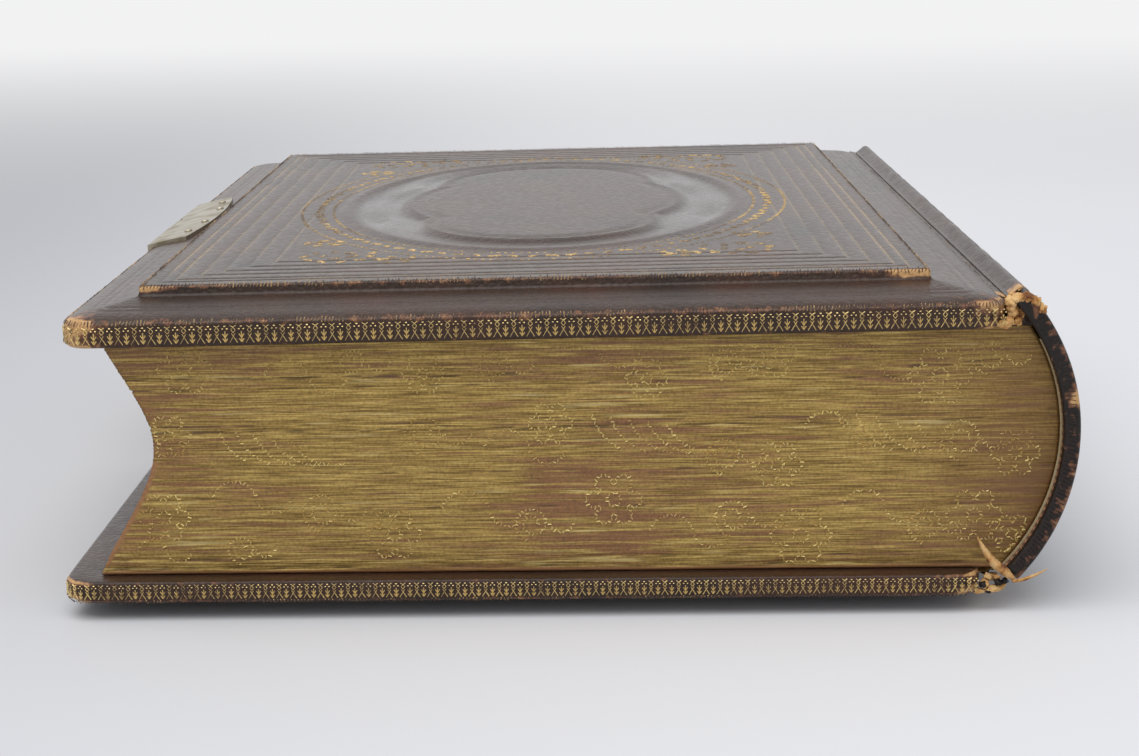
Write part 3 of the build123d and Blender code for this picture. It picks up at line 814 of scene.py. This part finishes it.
gap_depth[[0, leaf_rows]] = 0.0


def leaf_relief(row, travel, shift):
    """How far one leaf stands out of a cut edge, in metres, and how open its gap is."""
    wave = noise.noise(Vector((travel * 9.0, row * 0.61, shift)))
    drift = noise.noise(Vector((travel * 2.2, row * 0.09, shift + 5)))
    opening = 2.2 * noise.noise(Vector((travel * 16.0, row * 1.7, shift + 9))) + 0.3
    gap = gap_depth[row] * max(0.0, min(1.0, opening))
    return (row_height[row] + 0.05 * wave + 0.10 * drift - gap) * mm, gap


def block_point(i, j, k):
    """A point of the block's surface: i across, j along and k up the leaves."""
    share = leaf_x[i]
    fan = soft_step(0.84, 1.0, share)
    z = fore_z[k] + share * (even_z[k] - fore_z[k]) + fan * (back_z[k] - even_z[k])
    x = fore_x[k] + share * (back_x[k] - fore_x[k])
    y = leaf_y[j]
    gap = 0.0
    if 0 < k < leaf_rows:
        if j in (0, len(leaf_y) - 1) and share < 0.999:
            move, gap = leaf_relief(k, x / 0.1, 0.0 if j == 0 else 40.0)
            y += -move if j == 0 else move
        if i == 0:
            move, fore_gap = leaf_relief(k, y / 0.1, 20.0)
            x -= move
            gap = max(gap, fore_gap)
    return (x, y, z), gap


last_i, last_j, last_k = len(leaf_x) - 1, len(leaf_y) - 1, leaf_rows
numbers, points, gaps, bare, faces, face_kinds = {}, [], [], [], [], []


def block_number(i, j, k):
    """The number of a surface point, made the first time it is asked for."""
    if (i, j, k) not in numbers:
        point, gap = block_point(i, j, k)
        numbers[i, j, k] = len(points)
        points.append(point)
        gaps.append(gap)
        bare.append(1.0 if k <= 1 or (i <= 1 and j == 0 and 4 < k < 0.5 * leaf_rows) else 0.0)
    return numbers[i, j, k]


def block_face(corners, kind):
    """One face of the block: kind 0 is a gilt edge, kind 1 is plain paper."""
    faces.append(tuple(block_number(*corner) for corner in corners))
    face_kinds.append(kind)


for k in range(last_k):
    for i in range(last_i):
        block_face([(i, 0, k), (i + 1, 0, k), (i + 1, 0, k + 1), (i, 0, k + 1)], 0)
        block_face([(i, last_j, k), (i, last_j, k + 1), (i + 1, last_j, k + 1), (i + 1, last_j, k)], 0)
    for j in range(last_j):
        block_face([(0, j, k), (0, j, k + 1), (0, j + 1, k + 1), (0, j + 1, k)], 0)
        block_face([(last_i, j, k), (last_i, j + 1, k), (last_i, j + 1, k + 1), (last_i, j, k + 1)], 1)
for i in range(last_i):
    for j in range(last_j):
        block_face([(i, j, 0), (i, j + 1, 0), (i + 1, j + 1, 0), (i + 1, j, 0)], 1)
        block_face([(i, j, last_k), (i + 1, j, last_k), (i + 1, j + 1, last_k), (i, j + 1, last_k)], 1)

gilt, tree, surface, place = new_material("gilt_leaf_edges")
drawn = stretched(tree, place, (80.0, 80.0, 3200.0))
lines = cloudy(tree, drawn, 1.0, 3.0)
drawn_wide = stretched(tree, place, (42.0, 42.0, 1100.0))
streaks = cloudy(tree, drawn_wide, 1.0, 5.0)
cloud = cloudy(tree, place, 22.0, 4.0)
gap = mesh_value(tree, "gap")
gold_stops = [(0.3, tint(108, 84, 38)), (0.5, tint(164, 134, 70)), (0.7, tint(208, 178, 104))]
colour = add_ramp(tree, lines, gold_stops)
worn = calculate(tree, "ADD", multiply(tree, streaks, 0.62), multiply(tree, cloud, 0.38))
worn = remap(tree, worn, 0.49, 0.61)
colour = mix_colour(tree, multiply(tree, worn, 0.85), colour, tint(128, 82, 50))
grain = cloudy(tree, place, 1300.0, 3.0)
grain_tone = add_ramp(tree, grain, [(0.3, (0.45, 0.42, 0.36, 1)), (0.62, (1, 1, 1, 1))])
colour = mix_colour(tree, 0.6, colour, grain_tone, "MULTIPLY")
pale = remap(tree, streaks, 0.36, 0.28)
colour = mix_colour(tree, multiply(tree, pale, 0.5), colour, tint(214, 196, 140))
# Open gaps between the leaves are painted dark brown. This is painted shade in the gaps.
painted_gap_shade = remap(tree, gap, 0.08, 0.3)
colour = mix_colour(tree, multiply(tree, painted_gap_shade, 0.6), colour, tint(60, 40, 24))
bare_part = mesh_value(tree, "bare")
colour = mix_colour(tree, bare_part, colour, tint(152, 108, 70))
# Near the back the gilt is painted a darker brown in clouds. This is painted shade where the leaves fan round
# into the spine.
across = add_node(tree, "ShaderNodeSeparateXYZ", {0: place}).outputs["X"]
painted_back_shade = remap(tree, across, 0.088, 0.13, 0.0, 0.85)
painted_back_shade = multiply(tree, painted_back_shade, calculate(tree, "ADD", cloud, 0.2))
colour = mix_colour(tree, painted_back_shade, colour, tint(104, 70, 36))
height = calculate(tree, "ADD", lines, multiply(tree, streaks, 0.6))
metal_part = multiply(tree, calculate(tree, "SUBTRACT", 1.0, worn), 0.45)
add_surface(tree, surface, colour, 0.46, (0.5, 0.0003, height), {"Metallic": metal_part})

leaf_paper = fibre_finish("leaf_paper", tint(222, 208, 174), tint(190, 168, 126), 900.0, 0.85)
text_block = link_piece("text_block_leaves", points, faces, gilt, {"gap": gaps, "bare": bare}, smooth=False)
text_block.data.materials.append(leaf_paper)
text_block.data.polygons.foreach_set("material_index", face_kinds)
text_block.data.shade_smooth()
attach(text_block, "book_block")
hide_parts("text_block")

# ---- Gauffering ----
# Before the edges were finished, rosettes, scrolls and sprays were struck into the gilding with
# a toothed tool, which leaves rows of short slanted ridges that catch the light.


def arc_line(radius, first=0.0, last=360.0, centre=(0.0, 0.0), growth=0.0):
    """Points along an arc from one angle to another, wider as it goes if it grows."""
    count = max(6, int(abs(last - first) / 12))
    turns = np.radians(np.linspace(first, last, count))
    radii = radius + growth * np.linspace(0, 1, count)
    return np.column_stack([centre[0] + radii * np.cos(turns), centre[1] + radii * np.sin(turns)])


def tooled_curve(kind, size):
    """The lines of one ornament about its own centre, in millimetres."""
    if kind == "rosette":
        lines = [arc_line(size * 0.35)]
        for turn in range(0, 360, 60):
            lean = math.radians(turn)
            petal = (size * math.cos(lean), size * math.sin(lean))
            lines.append(arc_line(size * 0.42, turn - 125, turn + 125, petal))
        return lines
    if kind == "scroll":
        tail = arc_line(size * 0.7, 200, 340, (size * 1.6, size * 0.2))
        return [arc_line(size * 0.3, 0, 620, growth=size * 0.75), tail]
    if kind == "spray":
        lines = []
        for step in range(5):
            lean = -34 + 17 * step
            root = (size * 0.9 + lean * 0.03 * size, size)
            lines.append(arc_line(size * 1.5, 200 + lean * 0.2, 262 + lean * 0.6, root))
        return lines
    return [arc_line(size, 20, 160), arc_line(size * 0.8, 200, 340, (size * 1.75, size * 0.3))]


# Each ornament: its kind, its share of the edge's length and height, and its size in millimetres
ornaments = [
    ("rosette", 0.1, 0.86, 4.4), ("scroll", 0.27, 0.88, 4.2), ("wave", 0.205, 0.8, 5.4),
    ("rosette", 0.345, 0.83, 3.4), ("scroll", 0.42, 0.86, 3.8), ("wave", 0.5, 0.9, 6.0),
    ("rosette", 0.575, 0.8, 3.4), ("scroll", 0.655, 0.86, 3.8), ("rosette", 0.7, 0.9, 4.4),
    ("wave", 0.785, 0.84, 6.4), ("rosette", 0.875, 0.8, 5.0), ("scroll", 0.925, 0.88, 4.2),
    ("rosette", 0.08, 0.58, 3.6), ("spray", 0.185, 0.52, 7.5), ("scroll", 0.345, 0.58, 4.8),
    ("wave", 0.43, 0.5, 5.4), ("rosette", 0.475, 0.62, 3.6), ("spray", 0.575, 0.56, 8.0),
    ("scroll", 0.655, 0.48, 4.4), ("rosette", 0.71, 0.44, 4.0), ("wave", 0.76, 0.56, 5.6),
    ("spray", 0.83, 0.56, 8.4), ("scroll", 0.9, 0.54, 5.0), ("rosette", 0.955, 0.48, 4.0),
    ("rosette", 0.07, 0.24, 4.2), ("wave", 0.145, 0.3, 5.2), ("scroll", 0.235, 0.26, 4.6),
    ("rosette", 0.31, 0.16, 4.4), ("wave", 0.385, 0.24, 5.8), ("scroll", 0.455, 0.2, 4.2),
    ("rosette", 0.54, 0.3, 4.6), ("wave", 0.6, 0.14, 5.4), ("scroll", 0.665, 0.22, 4.6),
    ("rosette", 0.735, 0.14, 5.0), ("wave", 0.8, 0.24, 5.2), ("scroll", 0.865, 0.18, 4.2),
    ("rosette", 0.915, 0.22, 4.6), ("rosette", 0.955, 0.14, 3.4), ("wave", 0.055, 0.08, 3.6),
    ("scroll", 0.15, 0.1, 3.4),
]
tail_lines, head_lines, fore_lines = [], [], []
block_width = block_high.x - block_low.x
block_height = block_high.z - block_low.z
lift = 0.14 * mm
for kind, part_x, part_z, size in ornaments:
    for line in tooled_curve(kind, size * 1.18):
        count = len(line)
        x = block_low.x + part_x * block_width + line[:, 0] * mm
        z = block_low.z + part_z * block_height + line[:, 1] * mm
        z = np.clip(z, block_low.z + 1.5 * mm, block_high.z - 5 * mm)
        x = np.maximum(x, np.interp(z, fore_side[:, 2], fore_side[:, 0]) + 1.0 * mm)
        x = np.minimum(x, np.interp(z, back_side[:, 2], back_side[:, 0]) - 1.5 * mm)
        tail = np.column_stack([x, np.full(count, block_low.y - lift), z])
        head = np.column_stack([x, np.full(count, block_high.y + lift), z])
        tail_lines.append((tail, np.tile([0.0, -1.0, 0.0], (count, 1))))
        head_lines.append((head, np.tile([0.0, 1.0, 0.0], (count, 1))))
        y = block_low.y + part_x * (block_high.y - block_low.y) + line[:, 0] * mm
        y = np.clip(y, block_low.y + 2 * mm, block_high.y - 2 * mm)
        z_fore = np.clip(z, fore_z[0] + mm, fore_z[-1] - mm)
        x_fore = np.interp(z_fore, fore_side[:, 2], fore_side[:, 0]) - lift
        fore = np.column_stack([x_fore, y, z_fore])
        fore_lines.append((fore, np.tile([-1.0, 0.0, 0.0], (count, 1))))

tooth = stamp_from("gauffer_tooth", [(-0.46, 0, 0.46, 0)], 0.46, 0.2)
tooth_gold = gold_leaf_finish("gauffered_gold", tint(242, 224, 156), tint(178, 146, 84), 0.5)
for edge_name, lines in (("tail", tail_lines), ("head", head_lines), ("fore", fore_lines)):
    teeth = stamp_along(
        edge_name + "_gauffering", lines, tooth, tooth_gold, "book_block", 1.08 * mm,
        twist=math.radians(52), jitter=0.4, sizes=(0.7, 1.25), seed=4)

# ---- Spine ----
# The back is lined with linen, and a card stiffener keeps the hollow leather spine round. The
# leather is drawn over five low cords and turned in over both ends as caps.
spine_low, spine_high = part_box("spine_leather")
spine_round = 15.4 * mm
spine_half_height = (spine_high.z - spine_low.z) / 2
spine_radius = (spine_half_height**2 + spine_round**2) / (2 * spine_round)
round_x = spine_high.x - spine_radius
round_z = (spine_low.z + spine_high.z) / 2
round_end = math.asin(spine_half_height / spine_radius)
leather_radius = spine_radius - 1.7 * mm
cap_radius = spine_radius - 4.6 * mm
cap_depth = 1.9 * mm
cords = 5
cord_width = 5.0 * mm
cord_rise = 0.65 * mm


def on_round(radius, angle):
    """A point about the spine's centre line, as x and z."""
    return round_x + radius * math.cos(angle), round_z + radius * math.sin(angle)


# Each station: its place along the back, how far the leather rises there, and its inner radius
stations = [
    (spine_low.y, -0.75, cap_radius + 0.5 * mm),
    (spine_low.y + 0.2 * mm, -0.35, cap_radius + 0.15 * mm),
    (spine_low.y + 0.7 * mm, -0.05, cap_radius),
    (spine_low.y + cap_depth, 0.0, cap_radius),
    (spine_low.y + cap_depth + 0.01 * mm, 0.0, leather_radius),
]
spine_length = spine_high.y - spine_low.y
cord_places = [spine_low.y + spine_length * (number + 1) / (cords + 1) for number in range(cords)]
for y in np.arange(spine_low.y + 4.0 * mm, spine_high.y - 3.9 * mm, 1.6 * mm):
    nearest = min(abs(y - cord) for cord in cord_places)
    rise = cord_rise / mm * math.exp(-((nearest / (0.5 * cord_width)) ** 2))
    groove = 0.2 * math.exp(-(((nearest - 5.2 * mm) / (0.8 * mm)) ** 2))
    stations.append((float(y), rise - groove, leather_radius))
stations += [(-y, rise, inner) for y, rise, inner in reversed(stations[:5])]
arc_steps = 72
spot_y = -0.5 * spine_length
spot_z = 60.5 * mm
points, faces, wear = [], [], []
for y, rise, inner in stations:
    for step in range(arc_steps + 1):
        angle = -round_end + 2 * round_end * step / arc_steps
        x, z = on_round(spine_radius, angle)
        lump = noise.noise(Vector((x, y, z)) * 60) * 0.12
        near_end = min(y - spine_low.y, spine_high.y - y) / mm
        fade = soft_step(1.0, 0.8, abs(angle) / round_end) if rise > 0 else 1.0
        x, z = on_round(spine_radius + (rise * fade + lump) * mm, angle)
        points.append((x, y, z))
        rubbed = 0.34 if near_end < 0.6 else 0.0
        rubbed += 0.8 * math.exp(-(((y - spot_y) / mm) ** 2 + ((z - spot_z) / mm) ** 2) / 5)
        patch = 0.3 * noise.noise(Vector((x, y, z)) * 90) * (near_end < 2)
        wear.append(rubbed + max(rise - 0.5, 0) * 0.5 + patch)
    for step in range(arc_steps, -1, -1):
        x, z = on_round(inner, -round_end + 2 * round_end * step / arc_steps)
        points.append((x, y, z))
        wear.append(0.12 if min(y - spine_low.y, spine_high.y - y) < 2 * mm else 0.0)
loop = 2 * (arc_steps + 1)
for number in range(len(stations) - 1):
    first, second = number * loop, (number + 1) * loop
    for step in range(loop):
        after = (step + 1) % loop
        faces.append((first + step, first + after, second + after, second + step))
for step in range(arc_steps):
    far = (len(stations) - 1) * loop
    opposite = loop - 1 - step
    faces.append((step, opposite, opposite - 1, step + 1))
    faces.append((far + step, far + step + 1, far + opposite - 1, far + opposite))
black_hide = leather_finish("spine_goatskin", tint(30, 21, 17), gloss=0.46)
looks = {"wear": wear, "gilding": np.zeros(len(points))}
spine = link_piece("spine_leather_cover", points, [face[::-1] for face in faces], black_hide, looks)
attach(spine, "book_block")
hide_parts("spine_leather")

linen = fibre_finish("linen_lining", tint(198, 180, 142), tint(160, 140, 104), 1400.0, 0.9, (1, 0.3, 1))
brown_card = fibre_finish("brown_card", tint(142, 108, 72), tint(104, 76, 48), 600.0, 0.85)
finish_node("spine_lining", linen)
finish_node("spine_card", brown_card)

# The caps are scored across with a hot tool, in short slanted ribs.
rib = stamp_from("cap_rib", [(-0.35, -1.5, 0.35, 1.5)], 0.42, 0.14)
cap_angles = np.linspace(-round_end + 0.05, round_end - 0.12, 60)
cap_lines = []
cap_arc = [on_round((spine_radius + cap_radius) / 2, angle) for angle in cap_angles]
for y, facing in ((spine_low.y, -1.0), (spine_high.y, 1.0)):
    arc = np.array([(x, y, z) for x, z in cap_arc])
    cap_lines.append((arc, np.tile([0.0, facing, 0.0], (len(arc), 1))))
ribs = stamp_along(
    "cap_ribs", cap_lines, rib, black_hide, "book_block", 1.15 * mm, jitter=0.12, sizes=(0.8, 1.1), seed=9)

# ---- Endbands ----
# A cord laid across each end of the back and wound with two threads, tan and dark brown.
endband_radial = 1.1 * mm
band_radius = cap_radius + 1.2 * mm
band_outside = cap_radius + 2.4 * mm
wraps = 66
steps = wraps * 6
around = 10
endband_finish, tree, surface, place = new_material("wound_thread")
thread = mesh_value(tree, "thread")
fuzz = cloudy(tree, place, 1800.0, 3.0)
colour = mix_colour(tree, thread, tint(62, 42, 36), tint(176, 128, 92))
colour = mix_colour(tree, fuzz, colour, tint(120, 84, 60))
add_surface(tree, surface, colour, 0.75, (0.5, 0.0002, fuzz))
for end in ("tail", "head"):
    band_low, band_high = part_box(end + "_endband")
    band_y = (band_low.y + band_high.y) / 2
    half_y = (band_high.y - band_low.y) / 2
    band_end = math.asin(min(1.0, (band_high.z - round_z) / band_outside))
    start_end = math.asin((round_z - band_low.z) / band_outside)
    points, faces, threads = [], [], []
    for step in range(steps + 1):
        part = step / steps
        angle = -start_end + (start_end + band_end) * part
        phase = part * wraps
        swell = 0.86 + 0.14 * abs(math.sin(math.pi * phase))
        for side in range(around):
            turn = 2 * math.pi * side / around
            x, z = on_round(band_radius + endband_radial * swell * math.cos(turn), angle)
            points.append((x, band_y + half_y * swell * math.sin(turn), z))
            threads.append(1.0 if int(phase + 0.5) % 2 else 0.0)
    for step in range(steps):
        for side in range(around):
            first, after = step * around + side, step * around + (side + 1) % around
            faces.append((first, first + around, after + around, after))
    faces.append(tuple(range(around)))
    faces.append(tuple(range(steps * around, (steps + 1) * around))[::-1])
    band = link_piece(end + "_endband_thread", points, faces, endband_finish, {"thread": threads})
    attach(band, "book_block")
    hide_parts(end + "_endband")

# ---- Joints ----
# The cover leather bends over both hinges. It has cracked and torn away at the tail, where its
# tan fibres show in lumps, with a few dark scraps and two slivers.


def joint_skin(name, section_points, thickness, first_y, last_y, seed):
    """A strip of leather across a hinge, from its outer line, torn unevenly at its tail end."""
    line = np.array(section_points)
    along = np.gradient(line, axis=0)
    normal = np.column_stack([-along[:, 1], along[:, 0]]) / np.linalg.norm(along, axis=1)[:, None]
    loop = np.concatenate([line, (line - normal * thickness)[::-1]])
    count = len(loop)
    stations = 140
    points, wear, faces = [], [], []
    for station in range(stations + 1):
        part = station / stations
        for number, (x, z) in enumerate(loop):
            across = number if number < len(line) else count - 1 - number
            tear = 3.4 * noise.noise(Vector((across * 0.55, seed, 0))) * mm
            y = first_y + tear + part * (last_y - first_y - tear)
            lump = 0.25 * mm * noise.noise(Vector((x, y, z)) * 140 + Vector((seed, 0, 0)))
            points.append((x, y, z + lump))
            wear.append(0.9 * max(0.0, 1 - (y - first_y) / (9 * mm)) + 0.08)
    for station in range(stations):
        for number in range(count):
            first, after = station * count + number, station * count + (number + 1) % count
            faces.append((first, after, after + count, first + count))
    faces.append(tuple(range(count))[::-1])
    faces.append(tuple(range(stations * count, (stations + 1) * count)))
    looks = {"wear": wear, "gilding": np.zeros(len(points))}
    return link_piece(name, points, [face[::-1] for face in faces], glazed_hide, looks)


def on_upper(u, w):
    """A point of the upper cover's cross-section, as x and z."""
    place = upper_place @ Vector((u * mm, 0, w * mm))
    return place.x, place.z


def smooth_line(corners, count):
    """Points along a smooth curve that starts and ends on the given corners."""
    corners = np.array(corners)
    out = []
    for mark in np.linspace(0, len(corners) - 1, count):
        index = min(int(mark), len(corners) - 2)
        part = mark - index
        before = corners[max(index - 1, 0)]
        first, second = corners[index], corners[index + 1]
        after = corners[min(index + 2, len(corners) - 1)]
        out.append(0.5 * (2 * first + (second - before) * part
                          + (2 * before - 5 * first + 4 * second - after) * part**2
                          + (3 * first - before - 3 * second + after) * part**3))
    return np.array(out)


joint_thickness = 0.9 * mm
upper_hinge_line = smooth_line([
    on_upper(half_width - 1.6, 0.62),
    on_upper(half_width - 0.3, 0.35),
    on_upper(half_width + 1.1, 0.1),
    on_upper(half_width + 2.6, 1.1),
    on_upper(half_width + 4.4, 2.5),
    on_round(spine_radius + 0.35 * mm, round_end - 0.015),
    on_round(spine_radius + 0.15 * mm, round_end - 0.06),
], 19)
upper_hinge = joint_skin("upper_joint_leather", upper_hinge_line, joint_thickness, -150.5 * mm, 158.5 * mm, 3)
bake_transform(upper_hinge)

joint_low, joint_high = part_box("lower_joint")
lower_hinge_line = smooth_line([
    on_round(spine_radius - 0.9 * mm, -round_end + 0.03),
    on_round(spine_radius - 0.5 * mm, -round_end + 0.004),
    (joint_high.x - 1.2 * mm, joint_high.z - 1.4 * mm),
    (joint_low.x + 3.2 * mm, joint_low.z + 0.7 * mm),
    (joint_low.x + 0.9 * mm, joint_low.z + 0.35 * mm),
    (joint_low.x - 0.3 * mm, joint_low.z + 0.3 * mm),
], 16)
lower_hinge = joint_skin(
    "lower_joint_leather", lower_hinge_line[::-1], -joint_thickness, -144.5 * mm, 152.0 * mm, 8)
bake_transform(lower_hinge)
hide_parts("lower_joint")

torn_hide, tree, surface, place = new_material("torn_hide")
cloud = cloudy(tree, place, 300.0, 4.0)
fibres = cloudy(tree, place, 1400.0, 3.0)
torn_stops = [(0.36, tint(120, 74, 38)), (0.46, tint(190, 138, 78)), (0.62, tint(222, 182, 124))]
add_surface(tree, surface, add_ramp(tree, cloud, torn_stops), 0.88, (0.8, 0.0006, fibres))


def torn_lumps(name, corner, spots, seed, material, body):
    """Ragged lumps of torn leather, as one mesh: balls pulled out of shape, by place and size."""
    ball = bpy.data.meshes.new("lump")
    shaper = bmesh.new()
    bmesh.ops.create_icosphere(shaper, subdivisions=3, radius=1.0)
    shaper.to_mesh(ball)
    shaper.free()
    base = np.array([vertex.co for vertex in ball.vertices])
    base_faces = [tuple(face.vertices) for face in ball.polygons]
    bpy.data.meshes.remove(ball)
    points, faces = [], []
    for number, (x, y, z, across, deep, tall) in enumerate(spots):
        shift = Vector((seed + number * 2.7, number * 1.3, seed))
        ragged = np.array([1 + 0.55 * noise.noise(Vector(point) * 1.6 + shift)
                           + 0.3 * noise.noise(Vector(point) * 4.5 + shift) for point in base])
        place = (corner[0] + x, y, corner[1] + z)
        placed = base * ragged[:, None] * (across, deep, tall) + place
        faces += [tuple(index + len(points) for index in face) for face in base_faces]
        points += [tuple(point) for point in placed * mm]
    piece = link_piece(name, points, faces, material)
    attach(piece, body)


upper_corner = ((upper_place @ Vector((half_width * mm, 0, 0))).x / mm, spine_high.z / mm)
torn_lumps("upper_torn_hide", upper_corner, [
    (0.4, -157.2, -2.6, 1.6, 1.8, 1.5), (2.4, -157.4, -1.6, 1.9, 2.0, 1.3),
    (4.6, -157.8, -1.2, 1.9, 2.1, 1.2), (6.8, -158.2, -2.2, 1.5, 2.0, 1.3),
    (8.6, -158.6, -4.4, 1.2, 1.6, 1.5), (1.2, -156.8, -5.0, 1.7, 1.8, 2.0),
    (3.4, -156.0, -5.4, 1.6, 1.6, 1.8), (0.4, -157.0, -8.0, 1.5, 1.5, 1.4),
    (-1.2, -158.4, -8.6, 1.8, 0.7, 1.1), (2.8, -157.0, -7.8, 1.0, 1.3, 1.2),
    (5.6, -153.0, -2.6, 2.2, 3.0, 1.3), (3.0, -151.0, -2.6, 1.8, 3.2, 1.2),
    (7.2, -157.6, -5.2, 0.9, 1.0, 1.1),
], 2.0, torn_hide, "book_block")
lower_corner = (lower_high.x / mm, 0.0)
torn_lumps("lower_torn_hide", lower_corner, [
    (1.0, -156.6, 7.4, 1.3, 1.8, 1.2), (3.2, -157.4, 6.2, 1.7, 1.6, 0.9),
    (5.4, -156.4, 6.8, 1.3, 1.8, 1.0), (-0.6, -157.6, 5.6, 1.5, 1.0, 0.6),
    (2.2, -155.0, 8.8, 1.3, 1.4, 1.0), (4.6, -152.6, 8.0, 1.4, 2.2, 0.9),
], 6.0, torn_hide, "lower_cover")
torn_lumps("lower_torn_skin", lower_corner, [
    (0.2, -158.0, 7.6, 0.9, 0.9, 1.0), (4.4, -157.8, 8.2, 1.1, 0.9, 0.9),
    (1.8, -157.6, 5.5, 1.0, 1.0, 0.6), (6.4, -157.0, 8.4, 1.0, 1.2, 0.8),
], 9.0, black_hide, "lower_cover")


def sliver(name, centre_line, widths, thickness, y):
    """A curled shaving of leather: a thin strip along a line of x and z, standing at one y."""
    line = smooth_line(centre_line, 26)
    spread = np.interp(np.linspace(0, 1, len(line)), np.linspace(0, 1, len(widths)), widths)
    along = np.gradient(line, axis=0)
    normal = np.column_stack([-along[:, 1], along[:, 0]]) / np.linalg.norm(along, axis=1)[:, None]
    points, faces = [], []
    for number in range(len(line)):
        part = number / (len(line) - 1)
        bow = 0.8 * math.sin(math.pi * part)
        for side, depth in ((-0.5, 0.0), (0.0, -0.5), (0.5, 0.0), (0.0, 0.5)):
            x, z = line[number] + normal[number] * side * spread[number]
            points.append((x * mm, (y - bow + depth * thickness) * mm, z * mm))
    for number in range(len(line) - 1):
        for side in range(4):
            first, after = number * 4 + side, number * 4 + (side + 1) % 4
            faces.append((first, after, after + 4, first + 4))
    faces.append((3, 2, 1, 0))
    faces.append(tuple(range(4 * len(line) - 4, 4 * len(line))))
    piece = link_piece(name, points, faces, torn_hide)
    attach(piece, "book_block")


sliver("long_sliver", [(114.3, 21.8), (116.2, 18.4), (118.6, 15.0), (121.6, 12.4), (124.8, 9.6)],
       [0.3, 1.4, 2.2, 2.8, 2.6, 0.8], 0.5, -159.6)
sliver("short_sliver", [(124.2, 9.2), (127.2, 10.0), (130.6, 11.4), (133.6, 12.7)],
       [1.0, 1.1, 0.8, 0.2], 0.4, -160.0)
finish_node("upper_joint", glazed_hide)

# ---- Clasp ----
# A thin plate of silvered brass over the fore edge, riveted through the board, a hasp that
# swings on a pin, and a riveted catch plate on the lower cover.
brass, tree, surface, place = new_material("silvered_brass")
tarnish = cloudy(tree, place, 120.0, 5.0)
scratch = cloudy(tree, place, 900.0, 2.0)
brass_stops = [(0.3, tint(134, 124, 100)), (0.5, tint(172, 164, 146)), (0.75, tint(188, 183, 170))]
colour = add_ramp(tree, tarnish, brass_stops)
rough = remap(tree, tarnish, 0.3, 0.7, 0.48, 0.34)
add_surface(tree, surface, colour, rough, (0.2, 0.0002, scratch), {"Metallic": 0.9})
for name in ("clasp_plate", "clasp_rivets", "clasp_pin", "clasp_hasp", "catch_plate", "catch_rivets"):
    finish_node(name, brass)

# The stamps have been used, and are no part of the book.
for stamp in (roll_stamp, sprig, dot, tick, tooth, rib):
    bpy.data.objects.remove(stamp)
